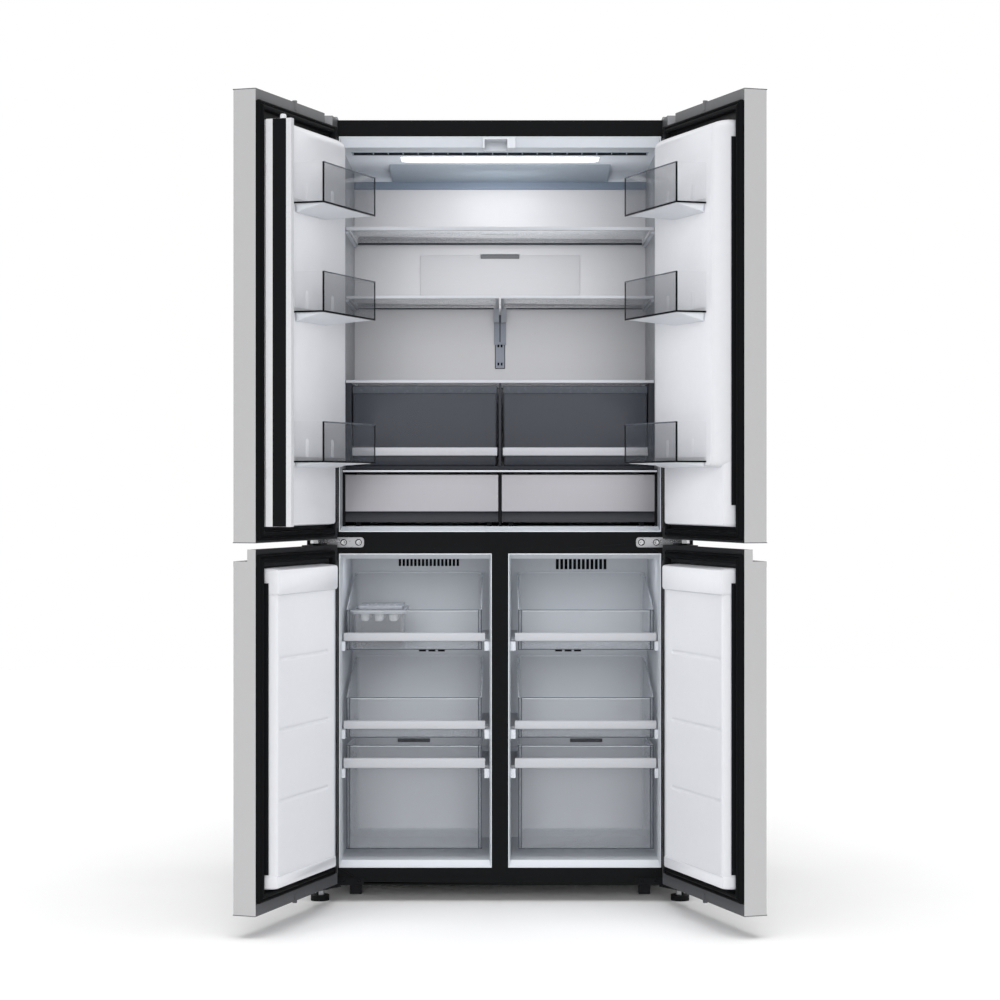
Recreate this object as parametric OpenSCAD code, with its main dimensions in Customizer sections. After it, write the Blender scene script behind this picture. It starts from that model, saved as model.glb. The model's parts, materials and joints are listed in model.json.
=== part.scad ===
// Four-door column refrigerator: two upper doors over one fridge compartment,
// two lower doors over a left and a right freezer column. Drawn with the doors open.
// X runs to the right seen from the front, Y runs from the front to the back, Z up from the floor.

/* [Cabinet] */
// Width of the cabinet
case_w = 912; // [860:1:960]
// Depth of the cabinet from its front face to its back
case_depth = 631; // [610:1:680]
// Height of the cabinet's underside above the floor
floor_gap = 39; // [34:1:50]
// Height of the rail below the freezer openings
bottom_rail = 44; // [36:1:60]
// Height of the freezer openings
freezer_open_h = 737; // [700:1:780]
// Height of the rail between freezer and fridge
mid_rail = 56; // [50:1:70]
// Height of the fridge opening
fridge_open_h = 929; // [900:1:980]
// Height of the rail above the fridge opening
top_rail = 41; // [36:1:60]
// Thickness of the cabinet's side walls beside the openings
side_wall = 78; // [74:1:84]
// Width of the post between the two freezer openings
post_w = 44; // [40:1:60]
// Thickness of the outer sheet
sheet_t = 1.2; // [0.8:0.1:2]
// Thickness of the liners
liner_t = 2.5; // [2:0.1:3]
// Thickness of the black front frame
frame_t = 3; // [2.5:0.5:4]
// Depth of the sloping lip round each opening
lip_d = 14; // [10:1:20]

/* [Doors] */
// Thickness of a door without its liner
door_t = 54; // [50:1:60]
// Gap between a closed door and the cabinet, filled by the gasket
seal_gap = 12; // [11:0.5:14]
// Gap between the left and right doors
pair_gap = 4; // [3:0.5:6]
// Gap between the upper and lower doors
row_gap = 14; // [13:0.5:16]
// Height of the lower doors' bottom edge above the cabinet's underside
door_rise = 12; // [12:1:16]
// How far the upper doors stop below the cabinet's top
door_drop = 3; // [2:1:5]
// Distance of the hinge line from the door's outer edge
pivot_inset = 24; // [20:1:28]
// Distance of the hinge line behind the door's outer face
pivot_back = 8; // [7.5:0.5:10]
// Angle of the doors as drawn, from closed
open_angle = 109; // [104:1:112]
// Thickness of the door's steel skin
skin_t = 1; // [0.8:0.1:1.2]
// Height of the end caps in each door
cap_h = 26; // [24:1:30]
// Width of the gasket's ring
seal_w = 20; // [16:1:22]
// Depth of the upper door liner behind the door's inner face
pan_deep = 58; // [50:1:60]
// Depth of the shallow lower part of the upper door liner
pan_low = 32; // [26:1:32]
// Depth of the freezer door liner
pan_freezer = 33; // [26:1:34]
// Depth of the finger groove in the lower doors' top edge
grip_h = 26; // [20:1:30]

/* [Hinges] */
// Radius of the hinge pins
pin_r = 5; // [4:0.5:5.5]
// Radial running clearance of the hinge pins
pin_fit = 0.05; // [0.02:0.01:0.08]
// Length of a hinge pin inside the door
pin_len = 22; // [18:1:24]
// Thickness of the hinge arms
arm_t = 8; // [6:0.5:9]
// Rise of the top hinge covers above the cabinet
cover_rise = 7; // [6:1:12]
// Depth of the notch for the top hinge in the upper doors
hinge_notch = 21; // [18:1:23]

/* [Centre flap] */
// Width of the hinged centre flap
flap_w = 60; // [56:1:60]
// Thickness of the centre flap
flap_t = 14.5; // [12:0.5:15]
// Radius of the flap's hinge pin and guide pin
flap_pin_r = 2.5; // [2:0.1:3]

/* [Shelves and bins] */
// Distance of the shelves' front edge behind the cabinet's front
shelf_front = 137; // [134:1:150]
// Depth of the air duct behind the steel back wall
duct_d = 40; // [36:1:60]
// Thickness of the shelf glass
glass_t = 4; // [3:0.5:5]
// Height of the two half shelves above the fridge's floor
half_shelf_up = 549; // [525:1:560]
// Height of the top shelf above the half shelves
top_shelf_gap = 165; // [150:1:174]
// Height of the crisper shelf above the fridge's floor
crisper_shelf_up = 345; // [340:1:354]
// Height of a door bin's clear wall
bin_h = 89; // [70:1:95]
// Depth of a door bin from the liner outwards
bin_d = 72; // [60:1:72]
// Height of the lowest door bin above the fridge's floor
low_bin_up = 148; // [148:1:170]
// Height of the middle door bin above the fridge's floor
mid_bin_up = 475; // [420:1:494]
// Height of the top door bin above the fridge's floor
top_bin_up = 713; // [680:1:720]
// Wall of the clear plastic boxes
box_t = 3; // [2.5:0.5:4]

/* [Drawers] */
// Height of the pantry drawers' fronts
pantry_h = 113; // [100:1:113]
// Height of the freezer drawers' handle bars
bar_h = 20; // [16:1:24]
// Height of the bottom drawer's bar above the freezer's floor
low_bar_up = 214; // [210:1:218]
// Height of the middle drawer's bar above the freezer's floor
mid_bar_up = 307; // [303:1:312]
// Height of the top drawer's bar above the freezer's floor
top_bar_up = 516; // [500:1:524]
// Clearance between things that slide on each other
slide_gap = 0.3; // [0.2:0.1:0.5]

/* [Feet] */
// Radius of the levelling feet
foot_r = 22; // [18:1:25]

/* [Hidden] */
$fn = 48;
eps = 0.01;

// Heights of the front's rails, and the bottom pan's top
case_bottom = floor_gap;
pan_top = case_bottom + 2;
freezer_z0 = case_bottom + bottom_rail;
freezer_z1 = freezer_z0 + freezer_open_h;
fridge_z0 = freezer_z1 + mid_rail;
fridge_z1 = fridge_z0 + fridge_open_h;
case_top = fridge_z1 + top_rail;

// Hinge line, and the doors' edges measured from it
pivot_x = case_w / 2 - pivot_inset;
pivot_f = door_t - pivot_back + seal_gap;
door_w = (case_w - pair_gap) / 2;
edge_u = door_w - pivot_inset;
face_v = -pivot_back;
inner_v = door_t - pivot_back;
seal_v = pivot_f;

// Heights of the doors
hinge_z = (freezer_z1 + fridge_z0) / 2 + 4;
upper_z0 = hinge_z + row_gap / 2;
upper_z1 = case_top - door_drop;
lower_z0 = case_bottom + door_rise;
lower_z1 = hinge_z - row_gap / 2;

// Fridge compartment inside its lip
opening_half = case_w / 2 - side_wall;
fridge_half = opening_half - 4;
fridge_floor = fridge_z0 + 10;
fridge_ceiling = fridge_z1 - 22;
fridge_back = case_depth - 91;
back_wall = fridge_back - duct_d;
half_shelf_z = fridge_floor + half_shelf_up;
top_shelf_z = half_shelf_z + top_shelf_gap;
crisper_shelf_z = fridge_floor + crisper_shelf_up;

// Freezer compartments inside their lips, and the step over the compressor
freezer_x0 = post_w / 2 + 3;
freezer_x1 = opening_half - 3;
freezer_floor = freezer_z0 + 14;
freezer_ceiling = freezer_z1 - 10;
freezer_back = case_depth - 111;
step_y = case_depth - 246;
step_z = case_bottom + 241;
step_run = 40;
air_cover_y = freezer_back - 90;

// Drawer columns of the fridge
pantry_x0 = 4;
pantry_x1 = fridge_half - 6.5;
pantry_z0 = fridge_floor + 10;
pantry_front = 32;
pantry_back = back_wall - 28;
pantry_top = pantry_z0 + pantry_h + 13.5;
crisper_x0 = 6.5;
crisper_x1 = fridge_half - 16;
crisper_z0 = pantry_top + 7.5;
crisper_back = back_wall - 20;

// Freezer drawers from the bottom up: bar, box bottom, clear front's top, rear rim
bar_z = [freezer_floor + low_bar_up, freezer_floor + mid_bar_up, freezer_floor + top_bar_up];
box_drop = [193, 21, 21];
front_rise = [54, 74, 74];
rim_rise = [39, 150, 151];
drawer_back = [step_y - 15, air_cover_y - 25, air_cover_y - 25];
drawer_x0 = freezer_x0 + 10.5;
drawer_x1 = freezer_x1 - 3.5;
drawer_front = 34;
body_x0 = freezer_x0 + 18.5;
body_x1 = freezer_x1 - 9.5;
body_front = drawer_front + 12;
flange_t = 4;

// Door liners: each pan's foot on the door and its draft inwards
pan_u0 = 60;
pan_u1 = edge_u - 34;
pan_z0 = fridge_floor + 7;
pan_step_z = pantry_top + 5.5;
pan_z1 = fridge_ceiling - 1;

// Bins, in the door's own directions
bin_u = [pan_u0 + 2, edge_u - 70];
bin_v0 = inner_v + pan_deep;
bin_z = [fridge_floor + low_bin_up, fridge_floor + mid_bin_up, fridge_floor + top_bin_up];
tray_drop = [9, 18, 18];

// Centre flap, in the left door's own directions
flap_root = 4;
flap_axis_u = edge_u - 27;
flap_axis_v = seal_v + flap_t / 2;
flap_z0 = fridge_floor + 8;
flap_z1 = fridge_ceiling - 5;
guide_pin_r = 5;
guide_pin_out = 34;
lug_z = [flap_z0 + 106, flap_z0 + 426, flap_z0 + 766];
lug_h = 20;
lug_r = 5;

// Front-to-back place of the whole: the folded flap reaches furthest forward,
// and the overall depth is centred on the origin
flap_tip_u = flap_axis_u + flap_t / 2;
flap_tip_v = flap_axis_v + flap_w - flap_root;
reach = pivot_f + flap_tip_u * sin(open_angle) - flap_tip_v * cos(open_angle);
front_y = (reach - case_depth) / 2;

// Shared shapes

// Cabinet parts are drawn from the cabinet's front face
module cabinet() { translate([0, front_y, 0]) children(); }

// A block between two corners
module block(x, y, z) {
    translate([x[0], y[0], z[0]]) cube([x[1] - x[0], y[1] - y[0], z[1] - z[0]]);
}

// Door parts are drawn in the left door's own directions: u from the hinge line to the
// free edge, v from the hinge line inwards, and turned open about the hinge line
module left_door() {
    translate([-pivot_x, front_y - pivot_f, 0]) rotate([0, 0, -open_angle]) children();
}
module right_door() { mirror([1, 0, 0]) left_door() children(); }

module both_sides() { children(); mirror([1, 0, 0]) children(); }

// An outline in Y and Z drawn out along X
module along_x(x0, x1) {
    translate([x0, 0, 0]) rotate([90, 0, 90]) linear_extrude(x1 - x0) children();
}

// Space of a compartment with a sloping lip, grown by g on every side but the front:
// m is the half width at the mouth, n inside it, around the centre line c
module compartment(c, m, n, mouth, inside, back, g) {
    intersection() {
        translate([c, 0, mouth[0] - 50]) linear_extrude(mouth[1] - mouth[0] + 100)
            polygon([[-m - g, -eps], [m + g, -eps], [m + g, 2], [n + g, lip_d],
                [n + g, back + g], [-n - g, back + g], [-n - g, lip_d], [-m - g, 2]]);
        along_x(c - m - 50, c + m + 50)
            polygon([[-eps, mouth[0] - g], [2, mouth[0] - g], [lip_d, inside[0] - g],
                [back + g, inside[0] - g], [back + g, inside[1] + g],
                [lip_d, inside[1] + g], [2, mouth[1] + g], [-eps, mouth[1] + g]]);
    }
}

module fridge_space(g) {
    compartment(0, opening_half, fridge_half, [fridge_z0, fridge_z1],
        [fridge_floor, fridge_ceiling], fridge_back, g);
}

// Right-hand freezer column: its floor steps up at the back over the compressor
module freezer_space(g) {
    c = (opening_half + post_w / 2) / 2;
    difference() {
        compartment(c, opening_half - c, (freezer_x1 - freezer_x0) / 2,
            [freezer_z0, freezer_z1], [freezer_floor, freezer_ceiling], freezer_back, g);
        along_x(0, case_w / 2)
            polygon([[step_y + g, 0], [case_depth, 0], [case_depth, step_z + step_run - g],
                [step_y + step_run + g, step_z + step_run - g], [step_y + g, step_z - g]]);
    }
}

// Space for the compressor behind and below the freezer columns
module machine_space() {
    along_x(-case_w / 2, case_w / 2)
        polygon([[step_y + 35, case_bottom], [case_depth, case_bottom],
            [case_depth, step_z - 20], [step_y + 75, step_z - 20],
            [step_y + 35, step_z - 60]]);
}

// Open-topped box with walls of box_t
module open_box(x, y, z) {
    difference() {
        block(x, y, z);
        block([x[0] + box_t, x[1] - box_t], [y[0] + box_t, y[1] - box_t],
            [z[0] + box_t, z[1] + 1]);
    }
}

// Cabinet

module outer_case() {
    color("dimgray") cabinet() difference() {
        block([-case_w / 2, case_w / 2], [frame_t, case_depth], [pan_top, case_top]);
        block([-case_w / 2 + sheet_t, case_w / 2 - sheet_t], [frame_t - 1, case_depth + 1],
            [case_bottom, case_top - sheet_t]);
        top_screws() cylinder(r = screw_r + 0.2, h = screw_len);
    }
}

vent_pitch = 22;
module back_panel() {
    color("silver") cabinet() difference() {
        union() {
            block([-case_w / 2 + sheet_t, case_w / 2 - sheet_t],
                [case_depth - sheet_t, case_depth], [pan_top, case_top - sheet_t]);
            // Ribs pressed into the sheet
            for (z = [step_z + 140 : 300 : case_top - 400])
                block([-case_w / 2 + 60, case_w / 2 - 60],
                    [case_depth - sheet_t - 2, case_depth - sheet_t], [z, z + 60]);
        }
        // Air slots of the compressor space
        for (side = [-1, 1], row = [0 : 6])
            translate([side * 250 - 90, case_depth - 3, 80 + row * vent_pitch])
                cube([180, 6, 8]);
        // Openings for the mains inlet and for the control board's lid
        block([-20, 20], [case_depth - 3, case_depth + 1], [case_bottom + 186, case_bottom + 214]);
        block([-board_half, board_half], [case_depth - 6, case_depth + 1], lid_z);
    }
}

module insulation_foam() {
    color("khaki") cabinet() difference() {
        block([-case_w / 2 + sheet_t, case_w / 2 - sheet_t],
            [frame_t, case_depth - sheet_t - 2], [pan_top, case_top - sheet_t]);
        fridge_space(liner_t);
        both_sides() freezer_space(liner_t);
        machine_space();
        foot_sockets(0.2);
        lamp_body(0.3);
        guide_body(0.3);
        grille_body(0.3);
        control_body(0.3);
        front_screws() cylinder(r = screw_r + 0.2, h = screw_len + 2);
        top_screws() cylinder(r = screw_r + 0.2, h = screw_len + 2);
    }
}

module front_frame() {
    color("black") cabinet() difference() {
        block([-case_w / 2, case_w / 2], [0, frame_t], [case_bottom, case_top]);
        fridge_space(liner_t);
        both_sides() freezer_space(liner_t);
        front_screws() cylinder(r = screw_r + 0.2, h = screw_len);
    }
}

ledge_t = 6;
module fridge_liner() {
    color("whitesmoke") cabinet() difference() {
        union() {
            difference() {
                fridge_space(liner_t);
                translate([0, -2 * eps, 0]) fridge_space(0);
            }
            // Ledges under the shelves
            both_sides() for (z = [top_shelf_z, half_shelf_z])
                block([fridge_half - 8, fridge_half + 1], [shelf_front + 12, back_wall - 16],
                    [z - slide_gap - ledge_t, z - slide_gap]);
        }
        lamp_body(0);
        guide_body(0);
        grille_body(0);
    }
}

// Ledge heights follow the handle bars, and the drawers' side flanges run on them
rail_h = 22;
module freezer_rails() {
    for (k = [0 : 2]) {
        block([freezer_x0 - 1, freezer_x0 + 12], [drawer_front - 6, drawer_back[k]],
            [bar_z[k] - rail_h - slide_gap, bar_z[k] - slide_gap]);
        block([freezer_x1 - 7.5, freezer_x1 + 1], [drawer_front - 6, drawer_back[k]],
            [bar_z[k] - rail_h - slide_gap, bar_z[k] - slide_gap]);
    }
}
module freezer_liners() {
    color("whitesmoke") cabinet() both_sides() {
        difference() {
            freezer_space(liner_t);
            translate([0, -2 * eps, 0]) freezer_space(0);
        }
        freezer_rails();
    }
}

// Steel sheet in front of the air duct at the fridge's back
module cooling_plate() {
    color("silver") cabinet() difference() {
        block([-fridge_half, fridge_half], [back_wall, back_wall + 2],
            [fridge_floor, corner_z0]);
        block([-slot_half, slot_half], [back_wall - 1, back_wall + 3],
            [filter_z1 - slot_h, filter_z1 + 3]);
    }
}

lamp_half = 236;
module lamp_body(g) {
    block([-lamp_half - 6 - g, lamp_half + 6 + g], [178 - g, 262 + g],
        [fridge_ceiling - 1, fridge_ceiling + 12 + g]);
}
module ceiling_lamp() {
    color("white") cabinet() {
        // Tray with its light board, and the long lens that closes it
        difference() {
            block([-lamp_half - 6, lamp_half + 6], [178, 262],
                [fridge_ceiling, fridge_ceiling + 12]);
            block([-lamp_half, lamp_half], [184, 256], [fridge_ceiling - 1, fridge_ceiling + 10]);
        }
        block([-lamp_half, lamp_half], [184, 256], [fridge_ceiling - 2, fridge_ceiling + 1]);
        block([-lamp_half + 10, lamp_half - 10], [210, 230],
            [fridge_ceiling + 8.4, fridge_ceiling + 10]);
    }
}

// Air duct in the ceiling: a slotted grille in front, a sloping cover at the back,
// and the band along the top of the steel back wall
corner_z0 = fridge_ceiling - 40;
corner_z1 = fridge_ceiling - 21;
grille_half = fridge_half - 17;
grille_y = [94, 147];
module grille_body(g) {
    block([-grille_half - g, grille_half + g], [grille_y[0] - g, grille_y[1] + g],
        [fridge_ceiling - 1, fridge_ceiling + 14 + g]);
}
module ceiling_duct() {
    color("slategray") cabinet() {
        difference() {
            grille_body(0);
            block([-grille_half + 3, grille_half - 3], [grille_y[0] + 4, grille_y[1] - 4],
                [fridge_ceiling - 2, fridge_ceiling + 11]);
        }
        for (side = [-1, 1], k = [0 : 8])
            translate([side * (18 + 36 * k) - 1, grille_y[0] + 3, fridge_ceiling + 1])
                cube([2, grille_y[1] - grille_y[0] - 6, 4]);
        along_x(-276, 276) polygon([[310, fridge_ceiling], [fridge_back - 1, fridge_ceiling],
            [fridge_back - 1, corner_z1 - 1], [back_wall - 6, corner_z1 - 1]]);
        block([-fridge_half, fridge_half], [back_wall - 6, back_wall + 2],
            [corner_z0, corner_z1]);
    }
}

// Guide that catches the flap's top pin as the left door closes
guide_x = [-41, 37];
guide_pocket = [-36, 17];
guide_d = 62;
module guide_body(g) {
    block([guide_x[0] - g, guide_x[1] + g], [-eps, guide_d + g],
        [fridge_ceiling - 3, fridge_z1 + g]);
}
module flap_guide() {
    color("white") cabinet() difference() {
        block(guide_x, [0, guide_d], [fridge_ceiling - 2.5, fridge_z1]);
        block(guide_pocket, [-1, guide_d - 8], [fridge_ceiling - 4, fridge_z1 - 4]);
    }
}

slot_half = 50;
slot_h = 9;
filter_z0 = half_shelf_z + 12;
filter_z1 = top_shelf_z - 26;
module filter_cover() {
    color("gainsboro") cabinet() {
        difference() {
            block([-205, 205], [back_wall - 3, back_wall], [filter_z0, filter_z1]);
            block([-slot_half, slot_half], [back_wall - 4, back_wall + 1],
                [filter_z1 - slot_h, filter_z1 + 1]);
        }
        // Filter cartridge behind the steel wall
        block([-60, 60], [back_wall + 2, back_wall + 22], [filter_z0 + 17, filter_z1 - 24]);
    }
}

// Track on the back wall that carries the half shelves' inner ends
track_half = 15.5;
track_z1 = half_shelf_z - 14;
track_z0 = track_z1 - 77;
track_foot = 11.5;
track_round = 5;
foot_z = track_z0 - 60 + track_round;
module shelf_track() {
    color("lightsteelblue") cabinet() difference() {
        union() {
            block([-track_half, track_half], [back_wall - 8, back_wall], [track_z0, track_z1]);
            block([-track_foot, track_foot], [back_wall - 5, back_wall], [foot_z, track_z0]);
            for (side = [-1, 1])
                translate([side * (track_foot - track_round), back_wall, foot_z]) rotate([90, 0, 0])
                    cylinder(r = track_round, h = 5);
            block([track_round - track_foot, track_foot - track_round], [back_wall - 5, back_wall],
                [foot_z - track_round, foot_z]);
        }
        block([-1.2, 1.2], [back_wall - 9, back_wall - 2], [track_z0 + 6, track_z1 + 1]);
        for (side = [-1, 1], z = [track_z0 - 52, track_z0 - 6])
            block([side * 4.2 - 2, side * 4.2 + 2], [back_wall - 9, back_wall - 1], [z, z + 7]);
    }
}

// A glass shelf with a front trim and a rear bar, between x0 and x1
module shelf(x0, x1, z, trim_h) {
    block([x0, x1], [shelf_front + 8, back_wall - 8], [z + trim_h - glass_t, z + trim_h]);
    difference() {
        block([x0, x1], [shelf_front, shelf_front + 12], [z, z + trim_h]);
        block([x0 - 1, x1 + 1], [shelf_front + 8, shelf_front + 13],
            [z + trim_h - glass_t, z + trim_h + 1]);
    }
    block([x0, x1], [back_wall - 14, back_wall - 5], [z, z + trim_h - glass_t]);
    for (x = [x0, x1 - 8])
        block([x, x + 8], [shelf_front + 12, back_wall - 14], [z, z + trim_h - glass_t]);
}

shelf_x1 = fridge_half - 1.5;
module top_shelf() {
    color("lightblue", 0.6) cabinet() shelf(-shelf_x1, shelf_x1, top_shelf_z, 9);
}
module half_shelves() {
    color("lightblue", 0.6) cabinet() both_sides() {
        shelf(2.5, shelf_x1, half_shelf_z, 7);
        // Bracket that hooks over the track
        along_x(3, 16) polygon([[back_wall - 50, half_shelf_z], [back_wall - 8.3, half_shelf_z],
            [back_wall - 8.3, half_shelf_z - 34], [back_wall - 16, half_shelf_z - 34]]);
    }
}
module crisper_shelf() {
    color("lightblue", 0.6) cabinet() shelf(-shelf_x1, shelf_x1, crisper_shelf_z, 7);
}

// Dark housing round the two crispers, standing on the pantry's housing
module crisper_frame() {
    color("darkslategray") cabinet() {
        block([-fridge_half + 0.5, fridge_half - 0.5], [shelf_front + 4, back_wall - 10],
            [pantry_top, crisper_z0 - slide_gap]);
        both_sides() block([crisper_x1 + 1, fridge_half - 0.5], [shelf_front + 1, back_wall - 10],
            [crisper_z0 - slide_gap, crisper_shelf_z]);
        block([-3, 3], [shelf_front + 1, back_wall - 10],
            [crisper_z0 - slide_gap, crisper_shelf_z]);
    }
}

// Black housing of the pantry drawers, with a light trim along its front
module pantry_frame() {
    color("black") cabinet() {
        block([-fridge_half + 0.5, fridge_half - 0.5], [pantry_front - 10, back_wall - 10],
            [pantry_top - 7.5, pantry_top]);
        both_sides() block([pantry_x1 + 1, fridge_half - 0.5], [pantry_front, back_wall - 10],
            [fridge_floor, pantry_top - 7.5]);
        block([-3, 3], [pantry_front, back_wall - 10], [fridge_floor, pantry_top - 7.5]);
        // Runners under the drawers
        both_sides() for (x = [20, pantry_x1 - 36])
            block([x, x + 12], [pantry_front + 20, pantry_back],
                [fridge_floor, pantry_z0 + 4 - slide_gap]);
    }
}

// Wall in front of the coil, with an air grille at its top and slots for each drawer.
// The right-hand grille has fewer and taller bars than the left-hand one
module air_cover(grille_x, pitch, bars, bar_size) {
    difference() {
        block([freezer_x0, freezer_x1], [air_cover_y, air_cover_y + 3],
            [step_z + step_run, freezer_ceiling]);
        for (k = [0 : bars - 1])
            translate([grille_x + pitch * k, air_cover_y - 1, freezer_ceiling - 14 - bar_size[2]])
                cube(bar_size);
        for (x = [140, 164, 188])
            translate([x, air_cover_y - 1, bar_z[2] - 52]) cube([18, 5, 6]);
        translate([178, air_cover_y - 1, bar_z[1] - 73]) cube([82, 5, 9]);
    }
}
module freezer_air_covers() {
    color("lightgray") cabinet() {
        air_cover(142, 11, 12, [7.5, 5, 26]);
        mirror([1, 0, 0]) air_cover(104, 9.8, 16, [6.5, 5, 18]);
    }
}

// Working parts

coil_x = [-freezer_x1 + 35, -freezer_x1 + 315];
coil_y = [air_cover_y + 12, air_cover_y + 62];
coil_z = [step_z + 65, step_z + 265];
tube_r = 4;
module evaporator() {
    color("silver") cabinet() {
        for (x = [coil_x[0] : 28 : coil_x[1]])
            block([x, x + 1.5], coil_y, coil_z);
        for (row = [0, 1], k = [0 : 5])
            translate([coil_x[0] - 8, coil_y[0] + 13 + 24 * row, coil_z[0] + 25 + 30 * k])
                rotate([0, 90, 0]) cylinder(r = tube_r, h = coil_x[1] - coil_x[0] + 18);
        // Headers that join the tube ends
        for (x = [coil_x[0] - 12, coil_x[1] + 6])
            block([x, x + 5], [coil_y[0] + 6, coil_y[0] + 44], [coil_z[0] + 15, coil_z[1] - 15]);
        // Feet on the liner's step
        for (x = [coil_x[0], coil_x[1]])
            block([x, x + 6], [coil_y[0] + 10, coil_y[1] - 10], [step_z + step_run, coil_z[0] + 3]);
        // Motor of the air fan on its arm
        translate([fan_x, fan_y + 20, fan_z]) rotate([-90, 0, 0]) cylinder(r = 22, h = 30);
        block([fan_x - 8, fan_x + 8], [fan_y + 30, fan_y + 40], [coil_z[1] - 5, fan_z]);
        block([coil_x[0], coil_x[1] + 6], [fan_y + 30, fan_y + 40], [coil_z[1] - 5, coil_z[1] + 8]);
        translate([fan_x, fan_y - 4, fan_z]) rotate([-90, 0, 0])
            cylinder(r = 2, h = 26);
    }
}

fan_x = -200;
fan_y = air_cover_y + 22;
fan_z = step_z + 380;
// Five pitched blades round a bored hub, turning about Y
module fan(r, depth, bore) {
    difference() {
        union() {
            rotate([-90, 0, 0]) cylinder(r = 16, h = depth);
            for (k = [0 : 4])
                rotate([0, 72 * k, 0]) translate([10, depth / 2 - 1, -12]) rotate([24, 0, 0])
                    cube([r - 11, 2, 26]);
        }
        translate([0, -5, 0]) rotate([-90, 0, 0]) cylinder(r = bore, h = depth + 10);
    }
}
module evaporator_fan() {
    color("white") cabinet() translate([fan_x, fan_y, fan_z]) fan(52, 16, 2 + pin_fit);
}

can_x = -210;
can_y = case_depth - 112;
module compressor() {
    color("black") cabinet() translate([can_x, can_y, pan_top]) {
        rotate_extrude() polygon([[0, 24], [52, 24], [66, 32], [74, 50], [76, 88], [74, 116],
            [64, 140], [44, 152], [0, 156]]);
        // Rubber-footed base
        block([-88, 88], [-62, 62], [20, 25]);
        for (x = [-76, 76], y = [-50, 50])
            translate([x, y, 0]) cylinder(r = 10, h = 20);
        // Suction and delivery tubes
        translate([70, 0, 100]) rotate([0, 90, 0]) cylinder(r = 4, h = 26);
        translate([-30, 56, 108]) rotate([-60, 0, 0]) cylinder(r = 3, h = 24);
        block([-98, -70], [-22, 22], [60, 116]);
    }
}

cond_x = [60, 300];
cond_y = case_depth - 150;
module condenser() {
    color("dimgray") cabinet() {
        for (k = [0 : 6])
            translate([cond_x[0], cond_y, pan_top + 30 + 22 * k])
                rotate([0, 90, 0]) cylinder(r = 3, h = cond_x[1] - cond_x[0]);
        for (k = [0 : 6])
            translate([cond_x[0], cond_y + 30, pan_top + 30 + 22 * k])
                rotate([0, 90, 0]) cylinder(r = 3, h = cond_x[1] - cond_x[0]);
        for (x = [cond_x[0] : 30 : cond_x[1]])
            block([x - 1, x + 1], [cond_y - 8, cond_y + 38], [pan_top, pan_top + 176]);
        // Shroud of the fan, with its motor on three spokes
        translate([-20, cond_y + 15, pan_top + 88]) {
            difference() {
                translate([0, -60, -88]) cube([36, 120, 176]);
                translate([-1, 0, 0]) rotate([0, 90, 0]) cylinder(r = 56, h = 38);
            }
            translate([24, 0, 0]) rotate([0, 90, 0]) cylinder(r = 18, h = 12);
            for (a = [90, 210, 330])
                rotate([a, 0, 0]) translate([28, -3, 0]) cube([4, 6, 59]);
            translate([-2, 0, 0]) rotate([0, 90, 0]) cylinder(r = 2, h = 30);
        }
    }
}
module condenser_fan() {
    color("white") cabinet() translate([-18, cond_y + 15, pan_top + 88])
        rotate([0, 0, -90]) fan(52, 16, 2 + pin_fit);
}

// Bottom pan: the cabinet stands on it, and it carries rollers and feet
axle_r = 4;
roller_r = (floor_gap - 3) / 2;
roller_x = case_w / 2 - 126;
roller_y = case_depth - 34;
roller_w = 24;
module base_plate() {
    color("darkgray") cabinet() {
        difference() {
            block([-case_w / 2, case_w / 2], [frame_t, case_depth], [case_bottom, pan_top]);
            stud_holes();
        }
        // Forks of the rear rollers, with their axles
        both_sides() {
            for (x = [roller_x - roller_w / 2 - 5, roller_x + roller_w / 2 + 1])
                block([x, x + 4], [roller_y - 16, roller_y + 16], [roller_r - 8, case_bottom]);
            translate([roller_x - roller_w / 2 - 8, roller_y, roller_r]) rotate([0, 90, 0])
                cylinder(r = axle_r, h = roller_w + 16);
        }
        // Housings of the front glides
        both_sides() {
            block([roller_x, roller_x + 36], [96, 134], [case_bottom - 7, case_bottom]);
            block([roller_x + 3, roller_x + 31], [100, 130], [1, case_bottom - 6]);
        }
        foot_sockets(0);
    }
}
module left_roller() {
    color("dimgray") cabinet() mirror([1, 0, 0]) roller();
}
module right_roller() {
    color("dimgray") cabinet() roller();
}
module roller() {
    translate([roller_x - roller_w / 2, roller_y, roller_r]) rotate([0, 90, 0]) difference() {
        cylinder(r = roller_r, h = roller_w);
        translate([0, 0, -1]) cylinder(r = axle_r + pin_fit, h = roller_w + 2);
    }
}

// Threaded sockets in the bottom pan, and the feet screwed into them
foot_x = case_w / 2 - 29;
foot_y = 26;
stud_r = 6;
foot_disc_h = 13;
foot_stem_r = 9;
socket_h = 34;
module foot_sockets(g) {
    both_sides() translate([foot_x, foot_y, pan_top - 1]) difference() {
        cylinder(r = 14 + g, h = socket_h + g);
        if (g == 0) translate([0, 0, -2]) cylinder(r = stud_r + 0.1, h = socket_h + 4);
    }
}
module stud_holes() {
    both_sides() translate([foot_x, foot_y, case_bottom - 1]) cylinder(r = stud_r + 0.1, h = 5);
}
module leveling_feet() {
    color("gray") cabinet() both_sides() translate([foot_x, foot_y, 0]) {
        cylinder(r = foot_r, h = foot_disc_h);
        translate([0, 0, foot_disc_h - 1]) cylinder(r = foot_stem_r, h = case_bottom - foot_disc_h + 1);
        translate([0, 0, case_bottom - 1]) cylinder(r = stud_r, h = 30);
    }
}

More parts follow.
